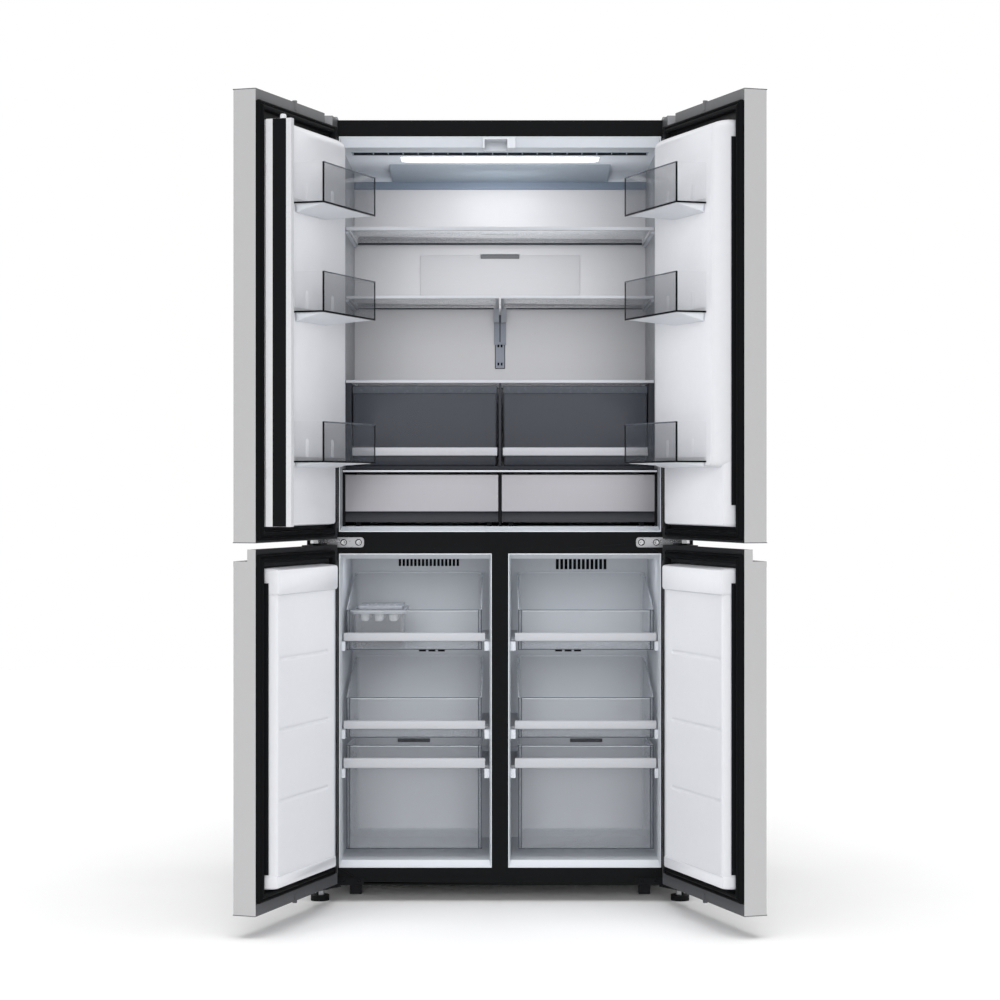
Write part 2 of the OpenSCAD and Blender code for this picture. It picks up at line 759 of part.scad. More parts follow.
// Control board in a box let into the back, with its lid in the back panel's opening
board_half = 100;
lid_z = [case_top - 276, case_top - 96];
module control_body(g) {
    block([-board_half - 12 - g, board_half + 12 + g], [case_depth - 36 - g, case_depth],
        [lid_z[0] - 10 - g, lid_z[1] + 10 + g]);
}
module control_box() {
    color("dimgray") cabinet() {
        difference() {
            block([-board_half - 12, board_half + 12], [case_depth - 36, case_depth - sheet_t],
                [lid_z[0] - 10, lid_z[1] + 10]);
            block([-board_half, board_half], [case_depth - 34, case_depth], lid_z);
        }
        block([-board_half + 8, board_half - 8], [case_depth - 34, case_depth - 32],
            [lid_z[0] + 8, lid_z[1] - 8]);
        block([-board_half, board_half], [case_depth - sheet_t - 1, case_depth], lid_z);
    }
}

// Hinges of the cabinet. Each is drawn for the right-hand side and mirrored

screw_r = 2.5;
screw_len = 12;
head_r = 5.5;
arm_z = hinge_z - arm_t / 2;
bottom_arm_z = lower_z0 - (row_gap - arm_t) / 2 - arm_t - 4;
notch_z = upper_z1 - hinge_notch;
cover_in = 48;

// Places of the screws in the front frame, pointing in, and in the cabinet's top, pointing down
module front_screws() {
    both_sides() for (x = [pivot_x - 98, pivot_x - 63], z = [hinge_z - 3, bottom_arm_z + 14])
        translate([x, 0, z]) rotate([-90, 0, 0]) children();
}
module top_screws() {
    both_sides() for (x = [pivot_x - 26, pivot_x + 2], y = [36, 72])
        translate([x, y, case_top]) mirror([0, 0, 1]) children();
}

// Arm from a plate on the front frame out to the hinge line, in plan
module arm(z) {
    translate([0, 0, z]) linear_extrude(arm_t)
        polygon([[pivot_x - 56, 0], [pivot_x - 24, 0], [pivot_x + 10, 10 - pivot_f],
            [pivot_x, -pivot_f], [pivot_x - 9, -pivot_f - 10.5]]);
    translate([pivot_x, -pivot_f, z]) cylinder(r = 14, h = arm_t);
}
module hinge_plate(z0, z1) {
    difference() {
        block([pivot_x - 111, pivot_x - 24], [-3, 0], [z0, z1]);
        translate([0, -5, 0]) front_screws() cylinder(r = screw_r + 0.2, h = screw_len);
    }
}

module middle_hinges() {
    color("silver") cabinet() both_sides() {
        hinge_plate(hinge_z - 15, hinge_z + 9);
        arm(arm_z);
        translate([pivot_x, -pivot_f, 0]) {
            translate([0, 0, lower_z1 - pin_len]) cylinder(r = pin_r, h = row_gap + 2 * pin_len);
            translate([0, 0, lower_z1 + slide_gap]) cylinder(r = 9, h = row_gap - 2 * slide_gap);
        }
    }
}
module bottom_hinges() {
    color("black") cabinet() both_sides() {
        hinge_plate(bottom_arm_z + 4, bottom_arm_z + 21);
        arm(bottom_arm_z);
        translate([pivot_x, -pivot_f, bottom_arm_z]) {
            cylinder(r = 9, h = lower_z0 - slide_gap - bottom_arm_z);
            cylinder(r = pin_r, h = lower_z0 + pin_len - bottom_arm_z);
        }
    }
}
top_plate_x = [pivot_x - 34, pivot_x + 14];
top_arm_z = case_top - 6.5;
module top_hinges() {
    color("silver") cabinet() both_sides() {
        difference() {
            block(top_plate_x, [-3.4, 90], [case_top, case_top + 3]);
            translate([0, 0, 4]) top_screws() cylinder(r = screw_r + 0.2, h = screw_len);
        }
        // Bend down in front of the case, and the arm out to the hinge line
        block(top_plate_x, [-3.4, -0.4], [top_arm_z, case_top + 3]);
        block(top_plate_x, [-pivot_f - 4, -0.4], [top_arm_z, top_arm_z + 3]);
        translate([pivot_x, -pivot_f, 0]) {
            translate([0, 0, notch_z + slide_gap])
                cylinder(r = 7, h = top_arm_z + 1 - notch_z - slide_gap);
            translate([0, 0, notch_z - pin_len]) cylinder(r = pin_r, h = pin_len + 2);
        }
    }
}
module screw(head_z) {
    translate([0, 0, head_z - 1.8]) cylinder(r = head_r, h = 1.8);
    translate([0, 0, head_z - 1]) cylinder(r = screw_r, h = screw_len - head_z);
}
module hinge_screws() {
    color("gainsboro") cabinet() {
        front_screws() screw(-3);
        top_screws() screw(-3);
    }
}
// Plan of a cover's part in front of the case, g inside its outer faces and open at the case
module cover_plan(g) {
    f = -pivot_f - 9.5 + g;
    polygon([[pivot_x - cover_in + g, g / 2], [pivot_x - cover_in + 7 + g, f],
        [case_w / 2 - g, f], [case_w / 2 - g, g / 2]]);
}
module hinge_covers() {
    front_top = case_top + 0.5;
    color("dimgray") cabinet() both_sides() difference() {
        union() {
            translate([0, 0, notch_z + 2]) linear_extrude(front_top - notch_z - 2) cover_plan(0);
            block([pivot_x - cover_in, case_w / 2], [-5.5, 110],
                [case_top, case_top + cover_rise]);
        }
        translate([0, 0, notch_z]) linear_extrude(front_top - 2 - notch_z) cover_plan(2);
        block([pivot_x - cover_in + 2, case_w / 2 - 2], [-3.9, 108],
            [case_top - 2, case_top + cover_rise - 2]);
    }
}

// Doors, in the left door's own directions

corner_r = 4;
// Outline of a door in plan with rounded outer edges, g inside its outer face
module door_outline(g) {
    r = corner_r - g;
    u0 = g - pivot_inset;
    u1 = edge_u - g;
    translate([u0, face_v + corner_r]) square([u1 - u0, inner_v - face_v - corner_r + g]);
    translate([u0 + r, face_v + g]) square([u1 - u0 - 2 * r, corner_r]);
    for (u = [u0 + r, u1 - r])
        translate([u, face_v + corner_r]) circle(r = r);
}
module door_slab(z0, z1, g) {
    translate([0, 0, z0]) linear_extrude(z1 - z0) door_outline(g);
}

// Room for the top hinge in an upper door's corner
notch_u = cover_in + 4;
module top_notch() {
    block([-pivot_inset - 1, notch_u], [face_v - 1, inner_v + 1], [notch_z, upper_z1 + 1]);
}

// Finger groove along a lower door's top edge, with its deeper channel
grip_u = 60;
grip_v = 26;
grip_groove = 8;
module grip_space() {
    block([grip_u, edge_u + 1], [face_v - 1, grip_v], [lower_z1 - grip_h, lower_z1 + 1]);
    block([grip_u, edge_u - skin_t - 2], [grip_v - 6, grip_v],
        [lower_z1 - grip_h - grip_groove, lower_z1]);
}

module upper_skin() {
    color("silver") difference() {
        door_slab(upper_z0, upper_z1, 0);
        door_slab(upper_z0 - 1, upper_z1 + 1, skin_t);
        top_notch();
    }
}
module lower_skin() {
    color("silver") difference() {
        door_slab(lower_z0, lower_z1, 0);
        door_slab(lower_z0 - 1, lower_z1 + 1, skin_t);
        grip_space();
    }
}

// Space for a hinge pin, in a cap, from height z0 up
module pin_bore(z0) {
    translate([0, 0, z0]) cylinder(r = pin_r + pin_fit, h = pin_len + 2);
}
// An end cap or the black plate between the caps, inside the skin
module door_fill(v0, z0, z1) {
    intersection() {
        door_slab(z0, z1, skin_t);
        block([-pivot_inset, edge_u], [v0, inner_v], [z0, z1]);
    }
}
plate_t = 3;

// Pan of the upper door liners, g inside its outer face
module upper_pan(g) {
    foot = g > 0 ? inner_v - 1 : inner_v;
    low = inner_v + pan_low - g;
    deep = inner_v + pan_deep - g;
    intersection() {
        translate([0, 0, pan_z0 - 1]) linear_extrude(pan_z1 - pan_z0 + 2)
            polygon([[pan_u0 + g, foot], [pan_u0 + 4 + g, deep], [pan_u1 - 12 - g, deep],
                [pan_u1 - g, foot]]);
        along_x(0, edge_u) polygon([[foot, pan_z0 + g], [low, pan_z0 + 4 + g],
            [low, pan_step_z - 2 + g], [deep, pan_step_z + 2 + g], [deep, pan_z1 - 18 - g],
            [inner_v + 14, pan_z1 - 2 - g], [foot, pan_z1 - g]]);
    }
}
module upper_liner() {
    difference() {
        union() {
            door_fill(face_v, upper_z0, upper_z0 + cap_h);
            door_fill(inner_v - plate_t, upper_z0 + cap_h, upper_z1 - cap_h);
            door_fill(face_v, upper_z1 - cap_h, upper_z1);
            intersection() {
                door_fill(face_v, notch_z - cap_h, notch_z);
                block([-pivot_inset, notch_u + 8], [face_v, inner_v], [notch_z - cap_h, notch_z]);
            }
        }
        top_notch();
        pin_bore(notch_z - pin_len - 1);
        pin_bore(upper_z0 - 1);
    }
    difference() {
        upper_pan(0);
        upper_pan(liner_t);
    }
}

// Lugs on the left liner that carry the flap's pins
module flap_lugs() {
    for (z = lug_z) difference() {
        union() {
            block([flap_axis_u - 13, flap_axis_u], [flap_axis_v - lug_r, flap_axis_v + lug_r],
                [z, z + lug_h]);
            translate([flap_axis_u, flap_axis_v, z]) cylinder(r = lug_r, h = lug_h);
        }
        translate([flap_axis_u, flap_axis_v, z - 1])
            cylinder(r = flap_pin_r + pin_fit, h = lug_h + 2);
    }
}

// Pan of the lower door liners, with its thicker top block and bottom lip
lower_pan_z = [lower_z0 + 57, lower_z1 - 43];
module lower_pan(g) {
    foot = g > 0 ? inner_v - 1 : inner_v;
    deep = inner_v + pan_freezer - g;
    intersection() {
        translate([0, 0, lower_pan_z[0] - 1])
            linear_extrude(lower_pan_z[1] - lower_pan_z[0] + 2)
            polygon([[pan_u0 + 2 + g, foot], [pan_u0 + 4 + g, deep], [pan_u1 - 4 - g, deep],
                [pan_u1 - g, foot]]);
        along_x(0, edge_u) polygon([[foot, lower_pan_z[0] + g], [deep, lower_pan_z[0] + 4 + g],
            [deep, lower_pan_z[1] - 2 - g], [foot, lower_pan_z[1] - g]]);
    }
}
module lower_liner() {
    difference() {
        union() {
            door_fill(face_v, lower_z0, lower_z0 + cap_h);
            door_fill(inner_v - plate_t, lower_z0 + cap_h, lower_z1 - grip_h - 12);
            door_fill(face_v, lower_z1 - grip_h - 12, lower_z1);
        }
        grip_space();
        pin_bore(lower_z0 - 1);
        pin_bore(lower_z1 - pin_len - 1);
    }
    difference() {
        union() {
            lower_pan(0);
            block([pan_u0, pan_u1 + 2], [inner_v, inner_v + pan_freezer + 5],
                [lower_pan_z[1] - 61, lower_pan_z[1]]);
            block([pan_u0 + 4, pan_u1 + 2], [inner_v, inner_v + pan_freezer],
                [lower_pan_z[0] - 4, lower_pan_z[0] + 29]);
        }
        lower_pan(liner_t);
        for (k = [0 : 2])
            block([pan_u0 + 50, pan_u1 - 11], [inner_v + pan_freezer - 1.5, inner_v + 60],
                [lower_z0 + 239 + 155 * k, lower_z0 + 249 + 155 * k]);
    }
}

// Rubber gasket round a door's inner face, and the soft fin beside the free edge
module gasket(z0, z1) {
    difference() {
        block([6, edge_u - 4], [inner_v, seal_v - slide_gap], [z0, z1]);
        block([6 + seal_w, edge_u - 4 - seal_w], [inner_v - 1, seal_v], [z0 + seal_w, z1 - seal_w]);
    }
}
module fin(z0, z1) {
    block([edge_u - 32, edge_u - 29], [inner_v, inner_v + 17], [z0, z1]);
}
module upper_gasket() { gasket(upper_z0 + 5, notch_z - 2); }
module lower_gasket() {
    gasket(lower_z0 + cap_h, lower_z1 - 11);
    fin(lower_z0 + 86, lower_z1 - 74);
}

// Three clear bins, each on its white wedge
module bins() {
    for (k = [0 : 2]) {
        open_box(bin_u, [bin_v0, bin_v0 + bin_d], [bin_z[k], bin_z[k] + bin_h]);
        along_x(bin_u[0] + 6, bin_u[1] - 6)
            polygon([[bin_v0, bin_z[k] - tray_drop[k]], [bin_v0 + bin_d - 6, bin_z[k]],
                [bin_v0, bin_z[k]]]);
    }
}

module upper_left_door() { left_door() upper_skin(); }
module upper_left_liner() {
    color("whitesmoke") left_door() {
        upper_liner();
        flap_lugs();
    }
}
module upper_left_gasket() { color("darkslategray") left_door() upper_gasket(); }
module left_bins() { color("lightblue", 0.6) left_door() bins(); }
module upper_right_door() { right_door() upper_skin(); }
module upper_right_liner() { color("whitesmoke") right_door() upper_liner(); }
module upper_right_gasket() {
    color("darkslategray") right_door() {
        upper_gasket();
        fin(pan_z0 + 48, pan_z1 - 40);
    }
}
module right_bins() { color("lightblue", 0.6) right_door() bins(); }
module lower_left_door() { left_door() lower_skin(); }
module lower_left_liner() { color("whitesmoke") left_door() lower_liner(); }
module lower_left_gasket() { color("darkslategray") left_door() lower_gasket(); }
module lower_right_door() { right_door() lower_skin(); }
module lower_right_liner() { color("whitesmoke") right_door() lower_liner(); }
module lower_right_gasket() { color("darkslategray") right_door() lower_gasket(); }

// Centre flap, drawn about its own pins with its width along the first direction and
// then folded back against the left door's liner
strip_a = [12, 44];
strip_t = 1;
module folded() {
    left_door() translate([flap_axis_u, flap_axis_v, 0]) rotate([0, 0, 90]) children();
}
module center_flap() {
    color("gray") folded() {
        difference() {
            block([-flap_root, flap_w - flap_root], [-flap_t / 2, flap_t / 2],
                [flap_z0, flap_z1]);
            for (z = lug_z)
                block([-flap_root - 1, lug_r + 1.5], [-flap_t, flap_t], [z - 2, z + lug_h + 2]);
            block(strip_a, [-flap_t / 2 - 1, -flap_t / 2 + strip_t], [flap_z0 + 8, flap_z1 - 8]);
        }
        for (z = lug_z)
            translate([0, 0, z - 3]) cylinder(r = flap_pin_r, h = lug_h + 6);
        translate([guide_pin_out, 0, flap_z1 - 1]) cylinder(r = guide_pin_r, h = 11);
    }
}
module flap_strip() {
    color("black") folded()
        block(strip_a, [-flap_t / 2, -flap_t / 2 + strip_t], [flap_z0 + 8, flap_z1 - 8]);
}

// Drawers, drawn for the right-hand side and mirrored

module crisper() {
    open_box([crisper_x0, crisper_x1], [shelf_front + 4, crisper_back],
        [crisper_z0, crisper_shelf_z - 7]);
    block([crisper_x0, crisper_x1], [shelf_front, shelf_front + 4 + eps],
        [crisper_z0 + 25, crisper_z0 + 45]);
}
module right_crisper() { color("slategray", 0.8) cabinet() crisper(); }
module left_crisper() { color("slategray", 0.8) cabinet() mirror([1, 0, 0]) crisper(); }

pull_h = 25.6;
pantry_wall = 18;
module pantry() {
    block([pantry_x0, pantry_x1], [pantry_front, pantry_front + pantry_wall],
        [pantry_z0 + pull_h, pantry_z0 + pantry_h]);
    block([pantry_x0, pantry_x1], [pantry_front + 6, pantry_front + pantry_wall],
        [pantry_z0, pantry_z0 + pull_h]);
    open_box([pantry_x0 + 8, pantry_x1 - 8], [pantry_front + pantry_wall, pantry_back],
        [pantry_z0 + 4, pantry_z0 + pantry_h - 9]);
}
module right_pantry() { color("silver") cabinet() pantry(); }
module left_pantry() { color("silver") cabinet() mirror([1, 0, 0]) pantry(); }

module freezer_drawer(k) {
    z = bar_z[k];
    low = z - box_drop[k];
    back = drawer_back[k];
    difference() {
        along_x(body_x0, body_x1) polygon([[body_front, low], [back, low],
            [back, z + rim_rise[k]], [body_front, z + front_rise[k]]]);
        block([body_x0 + box_t, body_x1 - box_t], [body_front + box_t, back - box_t],
            [low + box_t, z + rim_rise[k] + front_rise[k]]);
    }
    // Handle bar across the front, and the flanges that run on the ledges
    block([drawer_x0, drawer_x1], [drawer_front, body_front], [z, z + bar_h + (k == 0 ? 4 : 0)]);
    for (x = [[freezer_x0 + 2, body_x0 + 1], [body_x1 - 1, freezer_x1 - 2]])
        block(x, [drawer_front + 26, back], [z, z + flange_t]);
}
module right_drawer(k) { color("lightsteelblue", 0.7) cabinet() freezer_drawer(k); }
module left_drawer(k) {
    color("lightsteelblue", 0.7) cabinet() mirror([1, 0, 0]) freezer_drawer(k);
}
module right_bottom_drawer() { right_drawer(0); }
module right_middle_drawer() { right_drawer(1); }
module right_top_drawer() { right_drawer(2); }
module left_bottom_drawer() { left_drawer(0); }
module left_middle_drawer() { left_drawer(1); }
module left_top_drawer() { left_drawer(2); }

// Ice maker's bin with its tray of cups and its lid, standing in the left top drawer
ice_x = [body_x1 - 132.5, body_x1 - 15.5];
ice_y = [106, 294];
ice_rim = 7;
ice_h = 90;
module ice_box() {
    z0 = bar_z[2] - box_drop[2] + box_t;
    color("lightcyan", 0.8) cabinet() mirror([1, 0, 0]) {
        difference() {
            union() {
                block(ice_x, ice_y, [z0, z0 + ice_h - 10]);
                block([ice_x[0] - ice_rim, ice_x[1] + ice_rim],
                    [ice_y[0] - ice_rim, ice_y[1] + ice_rim], [z0 + ice_h - 11, z0 + ice_h]);
            }
            block([ice_x[0] + 3, ice_x[1] - 3], [ice_y[0] + 3, ice_y[1] - 3],
                [z0 + 3, z0 + ice_h + 1]);
        }
        difference() {
            block([ice_x[0] + 3, ice_x[1] - 3], [ice_y[0] + 3, ice_y[1] - 3],
                [z0 + ice_h - 20, z0 + ice_h]);
            for (i = [0 : 1], k = [0 : 5])
                translate([ice_x[0] + 8 + 52 * i, ice_y[0] + 6 + 30 * k, z0 + ice_h - 17])
                    cube([49, 26, 18]);
        }
        block([ice_x[0] + 6, ice_x[1] - 12], [ice_y[0] + 7, ice_y[1] - 7],
            [z0 + ice_h, z0 + ice_h + 8]);
    }
}

outer_case();
back_panel();
insulation_foam();
front_frame();
fridge_liner();
freezer_liners();
cooling_plate();
ceiling_lamp();
ceiling_duct();
flap_guide();
filter_cover();
shelf_track();
top_shelf();
half_shelves();
crisper_shelf();
crisper_frame();
pantry_frame();
freezer_air_covers();
evaporator();
evaporator_fan();
compressor();
condenser();
condenser_fan();
base_plate();
control_box();
top_hinges();
hinge_covers();
middle_hinges();
bottom_hinges();
hinge_screws();
leveling_feet();
left_roller();
right_roller();
upper_left_door();
upper_left_liner();
upper_left_gasket();
left_bins();
center_flap();
flap_strip();
upper_right_door();
upper_right_liner();
upper_right_gasket();
right_bins();
lower_left_door();
lower_left_liner();
lower_left_gasket();
lower_right_door();
lower_right_liner();
lower_right_gasket();
left_crisper();
right_crisper();
left_pantry();
right_pantry();
left_top_drawer();
left_middle_drawer();
left_bottom_drawer();
right_top_drawer();
right_middle_drawer();
right_bottom_drawer();
ice_box();
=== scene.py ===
# %% [markdown]
# A refrigerator with four open doors
# The cabinet, doors, shelves and drawers come in as fixed CAD nodes, already in their places.
# This lesson gives them their finishes, and builds the soft-edged parts over them: the moulded
# door liners, the rubber gaskets, the clear bins and drawers. All of them are surfaces made
# from formulas, so each shape can be read as a sentence and changed by one number.

# %% Set-up
import json
import math
import bmesh
import bpy
import numpy as np
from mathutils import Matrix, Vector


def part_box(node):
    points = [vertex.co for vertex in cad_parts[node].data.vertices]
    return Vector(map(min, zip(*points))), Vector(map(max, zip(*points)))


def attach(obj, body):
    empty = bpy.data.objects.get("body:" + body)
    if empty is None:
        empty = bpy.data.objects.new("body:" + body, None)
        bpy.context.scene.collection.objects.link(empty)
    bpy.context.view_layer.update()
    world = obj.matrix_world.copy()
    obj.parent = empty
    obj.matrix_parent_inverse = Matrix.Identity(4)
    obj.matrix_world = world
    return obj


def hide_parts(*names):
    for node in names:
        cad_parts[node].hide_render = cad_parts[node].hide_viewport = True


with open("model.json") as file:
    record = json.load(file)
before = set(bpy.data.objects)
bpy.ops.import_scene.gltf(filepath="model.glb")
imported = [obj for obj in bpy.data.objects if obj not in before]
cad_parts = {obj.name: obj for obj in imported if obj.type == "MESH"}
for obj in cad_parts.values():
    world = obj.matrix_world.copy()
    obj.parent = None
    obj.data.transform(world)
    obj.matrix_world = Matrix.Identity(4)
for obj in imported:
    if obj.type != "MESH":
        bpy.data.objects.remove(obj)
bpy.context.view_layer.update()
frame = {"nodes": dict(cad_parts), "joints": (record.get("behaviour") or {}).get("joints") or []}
MM = 0.001
joints = {joint["name"]: joint for joint in frame["joints"]}
hinge_x, hinge_y = (abs(joints["upper_left_hinge"]["pos_m"][0]) / MM,
                    joints["upper_left_hinge"]["pos_m"][1] / MM)
open_turn = math.radians(-joints["upper_left_hinge"]["range_deg"][0])
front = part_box("front_frame")[0].y / MM
print("cabinet front at", round(front, 1), "mm, doors open by", round(math.degrees(open_turn)))

# %% [markdown]
# Where things are
# A door is easiest to draw in its own directions: u from the hinge line to the free edge,
# v from the hinge line inwards, z up. One function then turns the drawing about the hinge
# line into its open place. The right-hand door is the left one with X negated.

# %% Places
def on_door(points, side):
    """(u, v, z) on a door to (x, y, z): u and v turned clockwise by the opening angle about
    the hinge line, and X negated on the right-hand side."""
    u, v, z = np.asarray(points, float).T
    x = -hinge_x + u * math.cos(open_turn) + v * math.sin(open_turn)
    y = hinge_y - u * math.sin(open_turn) + v * math.cos(open_turn)
    return np.stack([x if side == "left" else -x, y, z], 1)


def in_cabinet(points, side="right"):
    """(x, depth behind the cabinet's front, z) to (x, y, z), X negated on the left-hand side."""
    x, depth, z = np.asarray(points, float).T
    return np.stack([x if side == "right" else -x, front + depth, z], 1)


def ring(a0, a1, b0, b1, radius, turns=5):
    """Outline of a rounded rectangle: four quarter circles, joined by their end points."""
    r = max(0.01, min(radius, (a1 - a0) / 2 - 0.01, (b1 - b0) / 2 - 0.01))
    t = np.linspace(0, np.pi / 2, turns + 1)
    corners = ((a1 - r, b0 + r, -0.5), (a1 - r, b1 - r, 0), (a0 + r, b1 - r, 0.5),
               (a0 + r, b0 + r, 1))
    return np.concatenate([np.stack([a + r * np.cos(t + s * np.pi), b + r * np.sin(t + s * np.pi)], 1)
                           for a, b, s in corners])


def carried(outline, radius, profile, turns=5, closed=False):
    """A profile carried round a rounded rectangle. Each profile row is (inset, height), or one
    inset for each side (a0, a1, b0, b1, height); the corner's radius shrinks with the inset.
    The first and last rings are capped, or joined to each other when closed."""
    a0, a1, b0, b1 = outline
    rings = []
    for row in profile:
        i = row[:4] if len(row) == 5 else [row[0]] * 4
        flat = ring(a0 + i[0], a1 - i[1], b0 + i[2], b1 - i[3], radius - min(i), turns)
        rings.append(np.column_stack([flat, np.full(len(flat), row[-1])]))
    m, n = len(rings), len(rings[0])
    quads = sheet_faces(m, n, True)
    if closed:
        j = np.arange(n)
        k = (j + 1) % n
        quads += np.stack([(m - 1) * n + j, (m - 1) * n + k, k, j], 1).tolist()
    else:
        quads += [list(range(n)), list(range((m - 1) * n, m * n))]
    return np.concatenate(rings), quads


def sheet_faces(m, n, wrap=False):
    """Four-sided faces of a grid of m rows by n points; wrap joins each row's end to its start."""
    i = np.arange(m - 1)[:, None] * n
    j = np.arange(n if wrap else n - 1)[None]
    k = (j + 1) % n
    return np.stack([i + j, i + k, i + n + k, i + n + j], -1).reshape(-1, 4).tolist()


def drawn_along(outline, along):
    """A flat outline (rows of two numbers) repeated at each place along a line, capped at both
    ends: the returned points are (place, first, second)."""
    outline = np.asarray(outline, float)
    m, n = len(along), len(outline)
    points = np.column_stack([np.repeat(along, n), np.tile(outline, (m, 1))])
    return points, sheet_faces(m, n, True) + [list(range(n)), list(range((m - 1) * n, m * n))]


def turned(profile, turns=32):
    """A profile of (radius, height) turned about the upright axis through the origin."""
    profile = np.asarray(profile, float)
    t = np.linspace(0, 2 * np.pi, turns, endpoint=False)
    r, h = profile[:, :1], profile[:, 1:]
    points = np.stack([r * np.cos(t), r * np.sin(t), h + 0 * t], -1).reshape(-1, 3)
    m = len(profile)
    return points, sheet_faces(m, turns, True) + [list(range(turns)),
                                                  list(range((m - 1) * turns, m * turns))]


def joined(*shapes):
    """Several (points, faces) shapes as one."""
    points, faces, start = [], [], 0
    for p, f in shapes:
        points.append(p)
        faces += [[i + start for i in face] for face in f]
        start += len(p)
    return np.concatenate(points), faces


def shifted(shape, by):
    """A shape moved by (x, y, z)."""
    return shape[0] + np.asarray(by, float), shape[1]


def piece(name, points, faces, material, body, corner=35, stands_for=(), slot=None):
    """A mesh in millimetres, turned into metres, faced outwards and set riding on its body.
    Edges sharper than corner degrees stay crisp and all others shade smoothly."""
    mesh = bpy.data.meshes.new(name)
    mesh.from_pydata((np.asarray(points) * MM).tolist(), [], faces)
    work = bmesh.new()
    work.from_mesh(mesh)
    bmesh.ops.remove_doubles(work, verts=work.verts, dist=2e-6)
    bmesh.ops.recalc_face_normals(work, faces=work.faces)
    work.to_mesh(mesh)
    work.free()
    mesh.shade_smooth()
    mesh.set_sharp_from_angle(angle=math.radians(corner))
    mesh.materials.append(material)
    made = bpy.data.objects.new(name, mesh)
    bpy.context.scene.collection.objects.link(made)
    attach(made, body)
    if stands_for:
        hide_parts(*stands_for)
    return made


def cabinet_piece(name, shape, material, body="cabinet", side="right", corner=35, **more):
    """A shape drawn as (x, depth, z), on the cabinet or on a drawer that slides in it."""
    return piece(name, in_cabinet(shape[0], side), shape[1], material, body, corner, **more)


# %% [markdown]
# Finishes
# Nothing on a real appliance is one flat colour: steel sheet carries fine brush lines, moulded
# plastic is slightly uneven in its shine, and clear plastic looks darker at its edges, where
# one looks along the wall. Each finish is a Principled shader whose colour, shine and relief
# follow one noise pattern, stretched along the grain.

# %% Finishes
def light_of(colour):
    """A picture's colour (0 to 255) as amounts of light."""
    c = np.asarray(colour, float) / 255
    return np.where(c <= 0.04045, c / 12.92, ((c + 0.055) / 1.055) ** 2.4)


def finish(name, colour, shine, size, relief, tint, specular=0.5, metal=0.0, grain=(1, 1, 1),
           clear=None, glow=0.0, painted_side_light=1.0):
    """colour is varied by the share tint, roughness runs between the two shine numbers, size and
    relief are the fineness and strength of the bumps, and clear is (opacity face on, opacity edge
    on). painted_side_light paints light and shade: faces that look along X as the piece is drawn
    have that share of the colour, darker or lighter as light falls on their sides."""
    made = bpy.data.materials.new(name)
    made.use_nodes = True
    nodes, links = made.node_tree.nodes, made.node_tree.links
    shader = nodes["Principled BSDF"]
    shader.inputs["Metallic"].default_value = metal
    shader.inputs["Specular IOR Level"].default_value = specular
    where = nodes.new("ShaderNodeTexCoord")
    stretch = nodes.new("ShaderNodeMapping")
    stretch.inputs["Scale"].default_value = grain
    noise = nodes.new("ShaderNodeTexNoise")
    noise.inputs["Scale"].default_value = size
    noise.inputs["Detail"].default_value = 3.0
    links.new(where.outputs["Object"], stretch.inputs["Vector"])
    links.new(stretch.outputs["Vector"], noise.inputs["Vector"])
    ramp = nodes.new("ShaderNodeValToRGB")
    base = light_of(colour)
    for stop, place, share in ((ramp.color_ramp.elements[0], 0.3, 1 - tint),
                               (ramp.color_ramp.elements[1], 0.7, 1 + tint)):
        stop.position = place
        stop.color = (*np.clip(base * share, 0, 1), 1)
    links.new(noise.outputs["Fac"], ramp.inputs["Fac"])
    links.new(ramp.outputs["Color"], shader.inputs["Base Color"])
    # Painted light and shade: the colour of faces that look along X is scaled by painted_side_light
    if painted_side_light != 1:
        split = nodes.new("ShaderNodeSeparateXYZ")
        size_x, shade = nodes.new("ShaderNodeMath"), nodes.new("ShaderNodeMapRange")
        size_x.operation = "ABSOLUTE"
        shade.inputs["From Min"].default_value, shade.inputs["From Max"].default_value = 0.6, 0.9
        shade.inputs["To Min"].default_value, shade.inputs["To Max"].default_value = 1.0, painted_side_light
        darker = nodes.new("ShaderNodeVectorMath")
        darker.operation = "SCALE"
        links.new(where.outputs["Normal"], split.inputs["Vector"])
        links.new(split.outputs["X"], size_x.inputs[0])
        links.new(size_x.outputs["Value"], shade.inputs["Value"])
        links.new(ramp.outputs["Color"], darker.inputs["Vector"])
        links.new(shade.outputs["Result"], darker.inputs["Scale"])
        links.new(darker.outputs["Vector"], shader.inputs["Base Color"])
    span = nodes.new("ShaderNodeMapRange")
    for socket, value in (("From Min", 0.3), ("From Max", 0.7), ("To Min", shine[0]),
                          ("To Max", shine[1])):
        span.inputs[socket].default_value = value
    links.new(noise.outputs["Fac"], span.inputs["Value"])
    links.new(span.outputs["Result"], shader.inputs["Roughness"])
    bump = nodes.new("ShaderNodeBump")
    bump.inputs["Strength"].default_value = relief
    bump.inputs["Distance"].default_value = 0.0006
    links.new(noise.outputs["Fac"], bump.inputs["Height"])
    links.new(bump.outputs["Normal"], shader.inputs["Normal"])
    if clear:
        weight = nodes.new("ShaderNodeLayerWeight")
        weight.inputs["Blend"].default_value = 0.5
        opacity = nodes.new("ShaderNodeMapRange")
        opacity.inputs["To Min"].default_value, opacity.inputs["To Max"].default_value = clear
        links.new(weight.outputs["Facing"], opacity.inputs["Value"])
        links.new(opacity.outputs["Result"], shader.inputs["Alpha"])
    if glow:
        shader.inputs["Emission Color"].default_value = (*light_of((255, 255, 255)), 1)
        shader.inputs["Emission Strength"].default_value = glow
    return made


